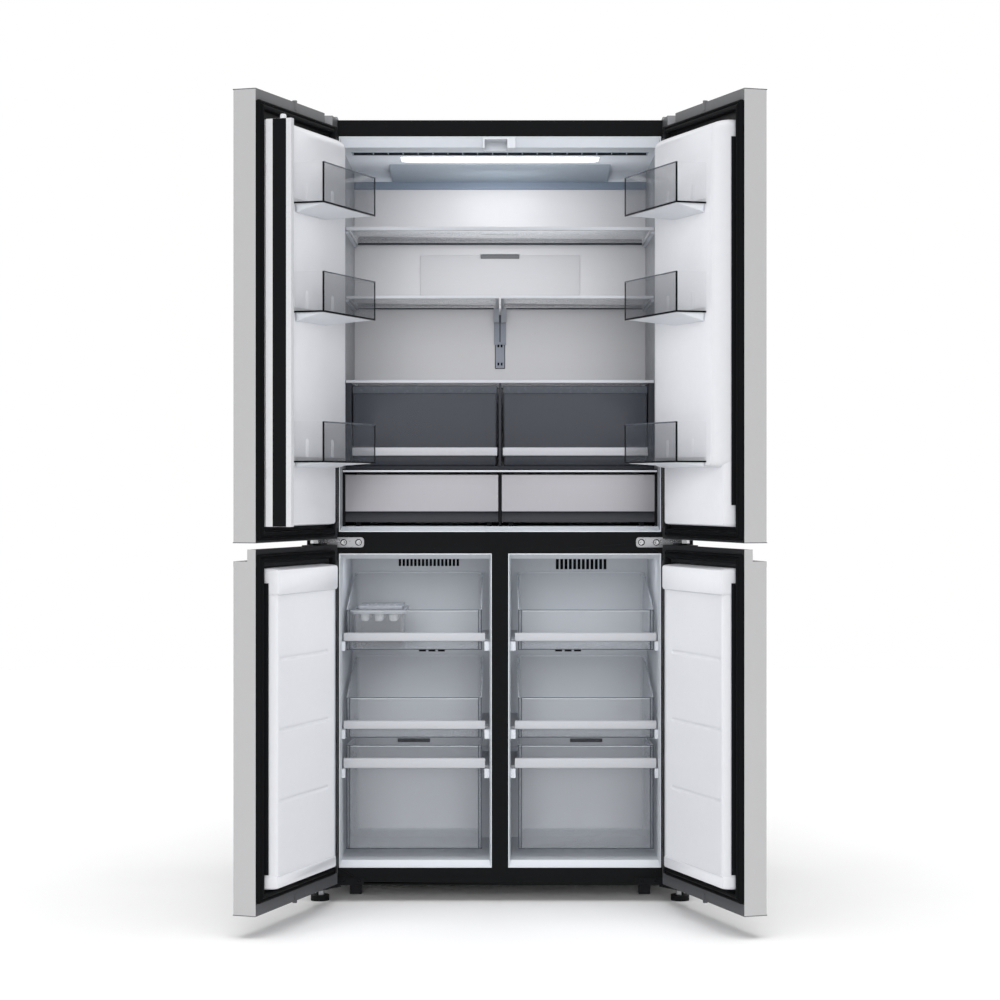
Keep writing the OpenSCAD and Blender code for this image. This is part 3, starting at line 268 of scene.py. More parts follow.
door_steel = finish("door_steel", (191, 191, 192), (0.36, 0.52), 90, 0.06, 0.03, metal=0.85,
                    grain=(1, 1, 60))
case_paint = finish("case_paint", (150, 150, 152), (0.45, 0.55), 400, 0.06, 0.03, metal=0.6)
back_steel = finish("back_steel", (176, 177, 179), (0.4, 0.5), 200, 0.06, 0.04, metal=0.7)
wall_steel = finish("wall_steel", (196, 196, 199), (0.3, 0.42), 60, 0.03, 0.02, metal=0.35,
                    grain=(0.4, 1, 60))
black_gloss = finish("black_gloss", (17, 18, 19), (0.3, 0.4), 40, 0.004, 0.05, 0.05)
black_plain = finish("black_plain", (18, 19, 21), (0.45, 0.6), 260, 0.02, 0.06, 0.08)
rubber = finish("rubber", (15, 16, 17), (0.45, 0.55), 500, 0.02, 0.06, 0.03)
cap_grey = finish("cap_grey", (104, 105, 107), (0.45, 0.6), 700, 0.05, 0.04, 0.25)
cap_low = finish("cap_low", (34, 35, 37), (0.45, 0.6), 700, 0.05, 0.04, 0.12)
cap_dark = finish("cap_dark", (80, 81, 84), (0.45, 0.6), 700, 0.05, 0.04, 0.2)
# Painted shade: the hinge covers' faces that look sideways get about a third of their colour
cover_grey_painted_side_shade = finish("cover_grey_painted_side_shade", (132, 133, 136), (0.4, 0.55), 500, 0.04, 0.04, 0.3, painted_side_light=0.35)
# Painted light: liner faces that look sideways, the door pans' large faces among them, are lightened by
# about a quarter
liner_white_painted_side_light = finish("liner_white_painted_side_light", (202, 203, 207), (0.32, 0.42), 60, 0.02, 0.01, painted_side_light=1.27)
# Painted shade: the cabinet liner's side walls get well under half of their colour
fridge_white_painted_side_shade = finish("fridge_white_painted_side_shade", (203, 208, 215), (0.3, 0.42), 60, 0.02, 0.012, painted_side_light=0.38)
freezer_white = finish("freezer_white", (204, 208, 214), (0.3, 0.42), 60, 0.02, 0.012)
duct_grey = finish("duct_grey", (146, 157, 168), (0.35, 0.5), 200, 0.03, 0.02, 0.3)
filter_grey = finish("filter_grey", (188, 188, 191), (0.35, 0.45), 60, 0.03, 0.02, 0.4, metal=0.35,
                     grain=(0.4, 1, 60))
lamp_white = finish("lamp_white", (250, 251, 253), (0.35, 0.45), 90, 0.02, 0.01, glow=1.6)
pale_plastic = finish("pale_plastic", (196, 200, 209), (0.38, 0.5), 180, 0.04, 0.02)
bar_plastic = finish("bar_plastic", (177, 179, 184), (0.36, 0.46), 180, 0.04, 0.02)
smoke_frame = finish("smoke_frame", (50, 53, 59), (0.35, 0.5), 180, 0.05, 0.05, 0.25)
hinge_steel = finish("hinge_steel", (176, 177, 180), (0.25, 0.4), 220, 0.05, 0.04, metal=0.85)
screw_steel = finish("screw_steel", (205, 206, 208), (0.18, 0.3), 300, 0.05, 0.03, metal=0.95)
foot_plastic = finish("foot_plastic", (17, 18, 19), (0.4, 0.6), 300, 0.1, 0.08, 0.1)
foam = finish("foam", (222, 206, 160), (0.8, 0.95), 120, 0.5, 0.08, 0.2)
coil_metal = finish("coil_metal", (200, 202, 205), (0.3, 0.45), 260, 0.1, 0.05, metal=0.8)
black_paint = finish("black_paint", (26, 26, 28), (0.35, 0.5), 260, 0.08, 0.06, 0.3)
fan_plastic = finish("fan_plastic", (225, 225, 223), (0.4, 0.55), 200, 0.05, 0.03)
pan_metal = finish("pan_metal", (34, 35, 37), (0.45, 0.6), 220, 0.08, 0.05, 0.2, metal=0.2)
glass = finish("glass", (192, 195, 199), (0.04, 0.08), 40, 0.001, 0.02, 0.4, clear=(0.1, 0.55))
bin_clear = finish("bin_clear", (206, 209, 214), (0.06, 0.12), 60, 0.001, 0.03, 0.3, clear=(0.01, 0.1))
bin_smoke = finish("bin_smoke", (60, 64, 71), (0.06, 0.12), 60, 0.001, 0.03, 0.3, clear=(0.16, 0.3))
# Painted dark edges: opaque bars for the dark look of clear plastic seen along its wall (the softer one on
# the bins' top rims), and for shade on the shelf track
painted_dark_edge = finish("painted_dark_edge", (12, 13, 15), (0.3, 0.4), 200, 0.005, 0.04, 0.08, clear=(0.96, 0.99))
painted_soft_edge = finish("painted_soft_edge", (92, 96, 104), (0.25, 0.35), 200, 0.005, 0.04, 0.2, clear=(0.55, 0.7))
drawer_clear = finish("drawer_clear", (200, 205, 212), (0.08, 0.16), 60, 0.001, 0.02, 0.4,
                      clear=(0.06, 0.6))
# Painted highlight: the near-white rims of the freezer drawers
rim_painted_highlight = finish("rim_painted_highlight", (232, 236, 242), (0.2, 0.3), 200, 0.005, 0.03, 0.4, clear=(0.76, 0.9))
# Painted grey edges for the freezer drawers: the look of clear plastic seen along its wall
painted_grey_edge = finish("painted_grey_edge", (70, 74, 82), (0.25, 0.35), 200, 0.005, 0.04, 0.2, clear=(0.85, 0.95))
crisper_smoke = finish("crisper_smoke", (72, 75, 82), (0.1, 0.18), 60, 0.006, 0.03, 0.25,
                       clear=(0.8, 0.95))
pantry_steel = finish("pantry_steel", (172, 171, 176), (0.34, 0.46), 60, 0.05, 0.03, metal=0.6,
                      grain=(60, 1, 0.6))
pull_dark = finish("pull_dark", (52, 53, 57), (0.4, 0.55), 200, 0.06, 0.05, 0.25)
trim_light = finish("trim_light", (192, 194, 200), (0.28, 0.4), 180, 0.03, 0.02)
band_blue = finish("band_blue", (112, 124, 140), (0.3, 0.45), 200, 0.02, 0.02, 0.3)
crisper_band = finish("crisper_band", (70, 74, 82), (0.2, 0.3), 120, 0.01, 0.03, 0.3)
bin_wedge = finish("bin_wedge", (206, 209, 214), (0.3, 0.4), 120, 0.01, 0.02, 0.4)
ice_clear = finish("ice_clear", (222, 225, 230), (0.15, 0.25), 60, 0.001, 0.02, 0.4, clear=(0.1, 0.5))
lid_clear = finish("lid_clear", (188, 192, 199), (0.2, 0.3), 120, 0.002, 0.02, 0.4, clear=(0.45, 0.8))
lamp_shade = finish("lamp_shade", (236, 240, 243), (0.2, 0.3), 90, 0.03, 0.02, clear=(0.7, 0.9))
track_grey = finish("track_grey", (140, 145, 156), (0.35, 0.5), 180, 0.03, 0.03, 0.3)
flap_grey = finish("flap_grey", (196, 197, 200), (0.32, 0.44), 200, 0.05, 0.03)

# %% [markdown]
# The CAD nodes
# These keep the exact shape they were packed with. A real edge is never a knife's edge, so each
# gets a weld (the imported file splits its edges) and a small bevel that catches a line of light.

# %% CAD finishes
worn_by = {
    door_steel: ("upper_left_door", "upper_right_door", "lower_left_door", "lower_right_door"),
    case_paint: ("outer_case",), back_steel: ("back_panel",), wall_steel: ("cooling_plate",),
    black_gloss: ("front_frame", "flap_strip"), black_plain: ("pantry_frame", "bottom_hinges"),
    fridge_white_painted_side_shade: ("fridge_liner",),
    freezer_white: ("freezer_liners", "freezer_air_covers", "flap_guide"),
    liner_white_painted_side_light: ("upper_left_liner", "upper_right_liner", "lower_left_liner", "lower_right_liner"),
    rubber: ("upper_left_gasket", "upper_right_gasket", "lower_left_gasket", "lower_right_gasket",
             "left_roller", "right_roller"),
    duct_grey: ("ceiling_duct",), lamp_white: ("ceiling_lamp",),
    filter_grey: ("filter_cover",), track_grey: ("shelf_track",), smoke_frame: ("crisper_frame",),
    glass: ("top_shelf", "half_shelves", "crisper_shelf"),
    hinge_steel: ("top_hinges", "middle_hinges"), screw_steel: ("hinge_screws",),
    cover_grey_painted_side_shade: ("hinge_covers",), foot_plastic: ("leveling_feet",), pan_metal: ("base_plate",),
    foam: ("insulation_foam",), coil_metal: ("evaporator",), fan_plastic: ("evaporator_fan",),
    black_paint: ("compressor", "condenser", "condenser_fan", "control_box"),
    bin_clear: ("left_bins", "right_bins"), flap_grey: ("center_flap",),
    crisper_smoke: ("left_crisper", "right_crisper"), pantry_steel: ("left_pantry", "right_pantry"),
    drawer_clear: ("left_top_drawer", "left_middle_drawer", "left_bottom_drawer", "right_top_drawer",
                   "right_middle_drawer", "right_bottom_drawer", "ice_box"),
}
for material, nodes in worn_by.items():
    for node in nodes:
        thing = frame["nodes"][node]
        for place in thing.material_slots:
            place.material = material
        if "custom_normal" in thing.data.attributes:
            thing.data.attributes.remove(thing.data.attributes["custom_normal"])
        thing.data.shade_smooth()
        weld = thing.modifiers.new("weld", "WELD")
        weld.merge_threshold = 2e-6
        edge = thing.modifiers.new("edge", "BEVEL")
        edge.width = 0.6 * MM
        edge.segments = 2
        edge.limit_method = "ANGLE"
        edge.angle_limit = math.radians(40)
        edge.harden_normals = True
bare = sorted(set(frame["nodes"]) - {n for group in worn_by.values() for n in group})
print(len(frame["nodes"]), "CAD nodes, without a finish:", bare)

# %% [markdown]
# Upper door liners
# A door's inner side is one sheet of white plastic drawn down over a mould, set in a black
# plate. Its edges are quarter circles, because hot sheet can't follow a sharp corner. So the
# liner is a rounded rectangle carried up a quarter-circle profile. Plastic caps close the
# door's ends.

# %% Upper door liners
def moulded(a_side, b_side, low, high, bends, radius, flat=0, steps=7):
    """A raised pan between two sides, from height low to high. bends gives the width of the
    quarter-circle edge on each side (a0, a1, b0, b1); flat carries the top on inwards."""
    t = np.linspace(0, np.pi / 2, steps)
    rows = [[*(np.array(bends) * (1 - math.cos(k))), low + (high - low) * math.sin(k)] for k in t]
    if flat:
        rows.append([*(np.array(bends) + flat), high])
    return carried((*a_side, *b_side), radius, rows)


def slab(a_side, b_side, low, high, soft=0.8, radius=2.0, steps=4):
    """A block whose upright corners have the given radius and whose rims are rounded by soft."""
    t = np.linspace(0, np.pi / 2, steps)
    rows = [[soft * (1 - math.sin(k)), low + soft * (1 - math.cos(k))] for k in t]
    rows += [[soft * (1 - math.cos(k)), high - soft * (1 - math.sin(k))] for k in t]
    return carried((*a_side, *b_side), radius, rows, 3)


def door_piece(name, side, shape, material, corner=35, face=True, **more):
    """A shape on one of the four doors. On its face it is drawn as (u, z, v), else as (u, v, z)."""
    points = np.asarray(shape[0])[:, [0, 2, 1]] if face else np.asarray(shape[0])
    body = "_".join(name.split("_")[:2])
    return piece(name, on_door(points, side), shape[1], material, body, corner, **more)


door_inner, door_outer = 46, -8
plate_u, lip_end = (-23, 429), 430.3
upper_door, lower_door = (859, 1843), (51, 845)
pan_hinge, pan_free = 60, 396
skin, cap = 1, 26
bin_floor = (1034, 1361, 1599)


def end_cap(u_side, z_side, soft=0.8, radius=2.0):
    """A plastic cap on a door's end, between its steel skin and its inner plate."""
    return slab(u_side, z_side, door_outer + skin, door_inner + 0.4, soft, radius)


def end_lip(u_from, z_side):
    """The thin edge of a cap, which laps over the end of the steel skin."""
    return slab((u_from, lip_end), z_side, door_outer - 0.2, door_inner, 0.3, 0.6)


def catch(z_side):
    """A small catch that stands out of an end cap."""
    return slab((214, 222), z_side, door_inner - 6, door_inner + 3, 0.8, 1.5)


for side in ("left", "right"):
    at = "upper_" + side + "_"
    low_end, top_end = upper_door
    pan_u = (pan_hinge, pan_free)
    deep = moulded(pan_u, (1022, 1782), door_inner - 1, door_inner + 58, (7, 15, 7, 20), 18)
    lugs = [moulded((u - 9, u + 9), (z + 10, z + 54), door_inner + 57, door_inner + 58.7, (3, 3, 3, 8), 7)
            for z in bin_floor for u in (142, 284)]
    low = moulded(pan_u, (893, 1050), door_inner - 1, door_inner + 32, (4, 9, 4, 3), 9)
    door_piece(at + "pan", side, joined(deep, low, *lugs), liner_white_painted_side_light, 50,
               stands_for=["upper_" + side + "_liner"], slot="door_liner")
    plate = slab(plate_u, (low_end + cap - 2, top_end - cap + 2), door_inner - 3, door_inner, 0.5)
    door_piece(at + "plate", side, plate, black_gloss)
    cap_top = end_cap((52, 429), (1817, top_end - 0.5), 0.5, 1)
    door_piece(at + "top_cap", side, joined(cap_top, catch((1825, 1848))), cap_grey)
    lips = joined(end_lip(52, (top_end - 1.4, top_end + 0.6)), end_lip(-23, (low_end - 0.6, low_end + 1.2)))
    door_piece(at + "end_lips", side, lips, cap_dark)
    door_piece(at + "notch_cap", side, end_cap((-23, 60), (1796, 1822), 0.5, 1), black_plain)
    door_piece(at + "bottom_cap", side, end_cap(plate_u, (low_end + 0.4, low_end + cap)), cap_low)

# %% [markdown]
# Lower door liners
# These pans carry three shallow pressed lines. Their face is a sheet over a grid whose lines
# lie close together only where the relief changes, and a formula lowers it there.

# %% Lower door liners
def pressed(a_lines, b_lines, height, relief, thick=2):
    """A sheet over a grid of lines, at height less the depth pressed into it, closed below."""
    m, n = len(a_lines), len(b_lines)
    a, b = (g.ravel() for g in np.meshgrid(a_lines, b_lines, indexing="ij"))
    top = np.column_stack([a, b, height - relief(a, b)])
    index = np.arange(m * n).reshape(m, n)
    rim = np.concatenate([index[0], index[1:, -1], index[-1, -2::-1], index[-2:0:-1, 0]])
    low = top[rim] - [0, 0, thick]
    k, start = np.arange(len(rim)), m * n
    after = (k + 1) % len(rim)
    sides = np.stack([rim, rim[after], start + after, start + k], 1).tolist()
    return np.concatenate([top, low]), sheet_faces(m, n) + sides + [(start + k).tolist()]


groove_low, groove_step, groove_top = 295, 155, 640


def groove_depth(u, z):
    """Three pressed lines across the pan, one to each step: smooth valleys 10 mm wide that fade
    out before they reach the pan's hinge side."""
    across = np.clip((u - 104) / 8, 0, 1) * np.clip((378 - u) / 4, 0, 1)
    nearest = (z - groove_low + groove_step / 2) % groove_step - groove_step / 2
    return 2.4 * across * np.exp(-(nearest / 3.4) ** 2) * (z < groove_top)


for side in ("left", "right"):
    at = "lower_" + side + "_"
    face = door_inner + 33
    grooves = [groove_low + groove_step * i for i in range(3)]
    z_lines = np.concatenate([[125, 200]] + [np.linspace(z - 16, z + 16, 33) for z in grooves]
                             + [[700, 785]])
    u_lines = np.concatenate([[78], np.linspace(103, 114, 6), [200, 300], np.linspace(373, 378, 4)])
    body = moulded((62, 396), (108, 802), door_inner - 1, face, (4, 6, 5, 5), 14, 12)
    sheet = pressed(u_lines, z_lines, face, groove_depth)
    top = moulded((60, 398), (741, 803), door_inner - 1, face + 5, (4, 5, 6, 4), 10)
    tab = moulded((64, 398), (104, 137), door_inner - 1, face + 2, (4, 6, 4, 6), 8)
    door_piece(at + "pan", side, joined((body[0], body[1][:-1]), sheet, top, tab), liner_white_painted_side_light, 50,
               stands_for=["lower_" + side + "_liner"], slot="door_liner")
    low_end = lower_door[0]
    plate = slab(plate_u, (low_end + cap - 2, 809), door_inner - 3, door_inner, 0.5)
    door_piece(at + "plate", side, plate, black_gloss)
    door_piece(at + "end_lip", side, end_lip(-23, (low_end - 0.6, low_end + 1.2)), cap_dark)
    bottom = joined(end_cap(plate_u, (low_end + 0.4, low_end + cap)), catch((46, 67)))
    door_piece(at + "bottom_cap", side, bottom, cap_dark)
    grip = [(-7, 807), (46.4, 807), (46.4, 844.2), (46, 844.6), (26, 844.6), (26, 812), (24, 811),
            (22, 811), (20, 812), (20, 819), (-7, 819)]
    door_piece(at + "top_cap", side, end_cap((-23, 60), (807, 844.6)), cap_low)
    door_piece(at + "grip_cap", side, drawn_along(grip, [59, 429]), cap_low, face=False)

# %% [markdown]
# Gaskets
# The magnetic seal is a soft bellows: a magnet's pocket stands on two folds of thin rubber. Its
# profile is drawn once, as inset from the outer edge and height above the door, and carried
# round the door. Beside the free edge runs a soft upright fin that closes the middle gap.

# %% Gaskets and fins
bellows = [(0, 46), (0, 50), (1.2, 53), (3.6, 54.8), (6, 53.4), (7.6, 52.2), (9.4, 53.4), (10.8, 56.2),
           (12.4, 57.5), (16, 57.7), (18.2, 56), (19.4, 52), (20, 49), (20, 46)]
fin_shape = [(398, 46), (397.6, 55), (398.6, 62), (399.6, 63), (400.8, 62), (401.2, 55), (401, 46)]
seal_z = {"upper": (864, 1820), "lower": (77, 834)}
fin_z = {"upper_right": (941, 1742), "lower_left": (137, 771), "lower_right": (137, 771)}
for door in ("upper_left", "upper_right", "lower_left", "lower_right"):
    level, side = door.split("_")
    seal = carried((6, 426, *seal_z[level]), 7, bellows, 4, True)
    door_piece(door + "_seal", side, seal, rubber, 25, stands_for=[door + "_gasket"], slot="gasket")
    if door in fin_z:
        points, faces = drawn_along(fin_shape, np.linspace(*fin_z[door], 3))
        door_piece(door + "_fin", side, (points[:, [1, 2, 0]], faces), black_plain, face=False)

# %% [markdown]
# Door bins
# A bin is a floor, two ends and a back lip of clear plastic with a smoky pane in front. Fine
# dark bars, and softer grey ones along the top rims, are painted: they stand for the dark look of
# its edges, where one looks along the plastic and it seems almost black. A white wedge carries it on the
# door.

# %% Door bins
bin_u, bin_v, bin_h = (62, 360), (104, 176), 89
bin_wall = 2.4


def bar(a_side, b_side, z_side, radius=0.4):
    """A thin bar between two numbers in each direction."""
    return slab(a_side, b_side, *z_side, 0.2, radius)


(u0, u1), (v0, v1) = bin_u, bin_v
for side in ("left", "right"):
    clear, smoke, dark, pale, wedge = [], [], [], [], []
    for z, drop in zip(bin_floor, (9, 18, 18)):
        top = z + bin_h
        clear += [slab((u0, u1), (v0 + 1, v1 - 2.5), z, z + bin_wall, 0.6, 3),
                  slab((u0 + 2.5, u1 - 2.5), (v0 + 1, v0 + 3.4), z + 2.5, z + 12, 0.6, 1)]
        clear += [slab(u_side, (v0 + 1, v1 - 2.5), z + 2.5, top, 0.6, 1)
                  for u_side in ((u0, u0 + bin_wall), (u1 - bin_wall, u1))]
        smoke.append(slab((u0, u1), (v1 - bin_wall, v1), z, top, 0.6, 1.1))
        # Painted: dark bars at the edges and grey bars along the top rims stand for how clear plastic looks
        # seen along its wall
        dark += [bar((u0, u1), (v1 - 1.5, v1 + 0.6), (z - 0.3, z + 3.6)),
                 bar((u1 - 1.6, u1 + 0.5), (v0 + 1, v1), (z - 0.3, z + 3.6)),
                 bar((u1 - 3, u1 + 0.5), (v1 - 3, v1 + 0.6), (z, top)),
                 bar((u0 - 0.4, u0 + 1.6), (v1 - 2, v1 + 0.6), (z, top))]
        pale.append(bar((u0, u1), (v1 - 1, v1 + 0.5), (top - 2.6, top + 0.4)))
        # The wedge's underside rises towards the hinge and towards the front
        wedge.append(carried((u0 + 6, u1 - 6, v0 + 1, v1 - 6), 6,
                             [(0, 0, 0, 0, z - 0.2), (6, 0, 0, 1, z - 1), (96, 3, 0, 50, z - drop * 0.8),
                              (122, 5, 0, 62, z - drop)]))
    door_piece("upper_" + side + "_bins", side, joined(*clear), bin_clear, 40, False,
               stands_for=[side + "_bins"], slot="clear_bin")
    for name, shapes, material in (("fronts", smoke, bin_smoke), ("edges", dark, painted_dark_edge),
                                   ("rims", pale, painted_soft_edge), ("wedges", wedge, bin_wedge)):
        door_piece("upper_" + side + "_bin_" + name, side, joined(*shapes), material, 40, False)

# %% [markdown]
# Centre flap
# The flap hangs on the left-hand door and closes the gap between the two upper doors. Its
# black strip is the steel face that the right-hand door's magnet holds, so it is slightly
# crowned. A white cap turns on the guide pin at the top.

# %% Centre flap
flap_u, flap_v = 403, 65.25
flap_z = (894, 1778)
half = 7.25
strip_u = flap_u + half - 1
a = np.linspace(12, 44, 9)
crown = 1.0 + 0.5 * np.cos((a - 28) / 32 * np.pi)
outline = np.concatenate([np.column_stack([strip_u + crown, flap_v + a]),
                          [[strip_u, flap_v + 44], [strip_u, flap_v + 12]]])
points, faces = drawn_along(outline, [894.4, 896, 1776, 1777.8])
piece("flap_face", on_door(points[:, [1, 2, 0]], "left"), faces, black_gloss, "flap", 60,
      stands_for=["flap_strip"], slot="flap_strip")
points, faces = joined(*[slab((flap_u + 5.8, flap_u + half - 0.1), v_side, *flap_z, 0.8, 1.6)
                         for v_side in ((flap_v - 4.2, flap_v + 12), (flap_v + 44, flap_v + 56.2))])
piece("flap_rims", on_door(points, "left"), faces, flap_grey, "flap")
pin = turned([(0.01, 1777.5), (6.4, 1777.5), (7, 1778.2), (7, 1784), (5.6, 1787.4), (0.01, 1788)])
points, faces = shifted(pin, (flap_u, flap_v + 34, 0))
piece("flap_pin_cap", on_door(points, "left"), faces, liner_white_painted_side_light, "flap")
print("flap strip crown", round(float(crown.max()), 2), "mm")

# %% [markdown]
# Shelves
# Each shelf is a pane of toughened glass held between a light front trim and a dark rear bar.
# The trim's section is a rounded rectangle drawn along the shelf.

# %% Shelves
def beam(x_side, y_side, z_side, radius=1.5):
    """A rounded bar along X, with its ends closed."""
    return drawn_along(ring(*y_side, *z_side, radius, 4), x_side)


back_wall, shelf_front = 500, 137
half_wide, trim_deep, pane_thick = 372.5, 9, 4
whole = [(-half_wide, half_wide)]
halves = [(-half_wide, -2.5), (2.5, half_wide)]
shelves = {"top_shelf": (whole, 1600, 9), "crisper_shelf": (whole, 1231, 7),
           "half_shelves": (halves, 1435, 7)}
for name, (spans, z, high) in shelves.items():
    panes, trims, bars = [], [], []
    under, pane_depth = z + high - pane_thick, (shelf_front + trim_deep, back_wall - 8)
    for x0, x1 in spans:
        panes.append(slab((x0 + 0.5, x1 - 0.5), pane_depth, under, z + high, 0.8, 2))
        trims.append(beam((x0, x1), (shelf_front, shelf_front + trim_deep), (z, z + high), 1.6))
        trims += [beam((x, x + 8), (shelf_front + 8, back_wall - 13), (z, under), 1) for x in (x0, x1 - 8)]
        bars.append(beam((x0, x1), (back_wall - 14, back_wall - 5), (z, under), 1.2))
    cabinet_piece(name + "_glass", joined(*panes), glass, stands_for=[name], slot="shelf_glass")
    cabinet_piece(name + "_trim", joined(*trims), trim_light)
    cabinet_piece(name + "_rear_bar", joined(*bars), smoke_frame)
hook = [(450, 1435), (491.7, 1435), (491.7, 1401), (484, 1401), (476, 1408)]
for side in ("left", "right"):
    cabinet_piece(side + "_shelf_hook", drawn_along(hook, [3, 4, 15, 16]), pale_plastic, side=side)
# Painted shade: the track's edges, its middle slit and its four holes for the hooks' teeth are drawn dark,
# where shade falls
track_half = 12.2
painted_shades = [bar((x - 1, x + 1), (499, 500.4), (1284, 1344), 0.5) for x in (-track_half, track_half)]
painted_shades += [bar((-track_half, track_half), (499, 500.4), (1282.5, 1284.5), 0.5),
           bar((-1.1, 1.1), (497, 498), (1351, 1420), 0.5)]
painted_shades += [bar((x - 2.2, x + 2.2), (494, 499), (z, z + 7), 0.5) for x in (-4.2, 4.2) for z in (1291, 1337.6)]
cabinet_piece("shelf_track_painted_shade", joined(*painted_shades), painted_dark_edge)

# %% [markdown]
# Crispers and pantry drawers
# Crispers and drawers are moulded tubs. A tub's profile goes from the middle of the floor out to
# the wall, up, over the rim and back down inside; carried round a rounded rectangle it gives
# the whole tub with an even wall. Walls lean outwards a little, so that the mould lets go.
# The crispers have a light strip to hold; the pantry drawers have steel fronts over a dark
# hollow that the fingers reach under.

# %% Crispers and pantry drawers
def tub(a_side, b_side, low, high, wall=3.0, radius=12.0, lean=2.0, bend=5.0, turns=6):
    """A tub from its floor's middle, out, up, over the rim and back: lean is how much narrower
    the floor is than the rim, bend the radius between floor and wall."""
    t = np.linspace(0, np.pi / 2, 5)
    inner = max(bend - wall, 1)
    rows = [[lean + bend * (1 - math.sin(k)), low + bend * (1 - math.cos(k))] for k in t]
    rows += [[0, high - 0.8], [0.5, high], [wall - 0.5, high], [wall, high - 0.8]]
    rows += [[lean + wall + inner * (1 - math.cos(k)), low + wall + inner * (1 - math.sin(k))] for k in t]
    return carried((*a_side, *b_side), radius, rows, turns)


for side in ("left", "right"):
    body = side + "_crisper_box"
    box = tub((6.5, 358), (141, 480), 1030, 1224, 3, 7, 3, 6)
    cabinet_piece(side + "_crisper_tub", box, crisper_smoke, body, side, 40,
                  stands_for=[side + "_crisper"], slot="crisper")
    strip = beam((7, 357.5), (137, 141.6), (1055, 1075), 1.6)
    cabinet_piece(side + "_crisper_strip", strip, trim_light, body, side)
    band = beam((8, 356.5), (139.6, 141.8), (1206, 1223), 0.8)
    cabinet_piece(side + "_crisper_band", band, crisper_band, body, side)
    body, pantry_x, front_low = side + "_pantry_box", (4, 367.5), 921.6
    points, faces = slab(pantry_x, (front_low, 1009), 0, 18, 1.0, 1.5)
    points = np.column_stack([points[:, 0], 32 + points[:, 2], points[:, 1]])
    cabinet_piece(side + "_pantry_front", (points, faces), pantry_steel, body, side,
                  stands_for=[side + "_pantry"], slot="pantry")
    hollow = [(50, 896), (40, 896), (38.4, 897), (38, 899), (39.5, 908), (43, 917), (47, front_low),
              (50, front_low)]
    cabinet_piece(side + "_pantry_pull", drawn_along(hollow, pantry_x), pull_dark, body, side)
    box = tub((12, 359.5), (49, 472), 900, 1000, 3, 8, 3, 6)
    cabinet_piece(side + "_pantry_tub", box, pale_plastic, body, side, 40)

pantry_trim = beam((-half_wide, half_wide), (20.5, 24), (1015, 1019.5), 1)
cabinet_piece("pantry_trim", pantry_trim, trim_light)

# %% [markdown]
# Freezer drawers
# Each clear tub is low in front and high at the back, so its rim is a sloping plane: the tub's
# heights are stretched in proportion to how far back a point lies.

# %% Freezer drawers
def sloping(shape, low, y_side, front_top, back_top):
    """A tub's heights above its floor, stretched so that the rim rises from front to back."""
    points, faces = shape
    y, z = points[:, 1], points[:, 2]
    share = np.clip((y - y_side[0]) / (y_side[1] - y_side[0]), 0, 1)
    top = front_top + (back_top - front_top) * share
    level = (z - low) / (max(front_top, back_top) - low)
    return np.column_stack([points[:, :2], low + level * (top - low)]), faces


drawers = {"bottom": (311, 193, 54, 39, 370),
           "middle": (404, 21, 74, 150, 405),
           "top": (613, 21, 74, 151, 405)}
for side in ("left", "right"):
    for name, (bar_z, drop, front_up, back_up, rear) in drawers.items():
        at, body, low = side + "_" + name + "_drawer", side + "_" + name + "_box", bar_z - drop
        high, front_top, back_top = bar_z + max(front_up, back_up), bar_z + front_up, bar_z + back_up
        box = tub((43.5, 365.5), (46, rear), low, high, 3, 16, 3, 7)
        box = sloping(box, low, (46, rear), front_top, back_top)
        cabinet_piece(at + "_tub", box, drawer_clear, body, side, 40, stands_for=[at], slot="clear_drawer")
        # Painted: grey bars along the clear tub's front edges stand for how clear plastic looks seen along
        # its wall
        lines = [bar((43.2, 365.8), (45.2, 47), z_side)
                 for z_side in ((front_top - 1.4, front_top + 0.4), (low, low + 2))]
        lines += [bar((x - 1, x + 1), (45.2, 47), (low, front_top)) for x in (44.2, 51, 358, 364.8)]
        cabinet_piece(at + "_edges", joined(*lines), painted_grey_edge, body, side)
        # The tub's rim is real in shape; its near-white colour is a painted highlight along the sloping
        # edges
        section = [(0, high - 3.2), (0, high + 0.3), (2.6, high + 0.3), (2.6, high - 3.2)]
        rim = carried((43, 366, 47, rear + 0.4), 16, section, 6, True)
        rim = sloping(rim, low, (46, rear), front_top - 1.8, back_top)
        cabinet_piece(at + "_rim", rim, rim_painted_highlight, body, side)
        tall = 24 if name == "bottom" else 20
        section = [(46.5, bar_z), (37, bar_z), (35, bar_z + 1.2), (34, bar_z + 3.5), (34, bar_z + tall - 4),
                   (35, bar_z + tall - 1.4), (37, bar_z + tall), (46.5, bar_z + tall)]
        flanges = [beam(x_side, (60, rear), (bar_z, bar_z + 4), 0.8)
                   for x_side in ((27, 44.5), (364.5, 373))]
        rail = joined(drawn_along(section, [35.5, 371.5]), *flanges)
        cabinet_piece(at + "_bar", rail, bar_plastic, body, side)
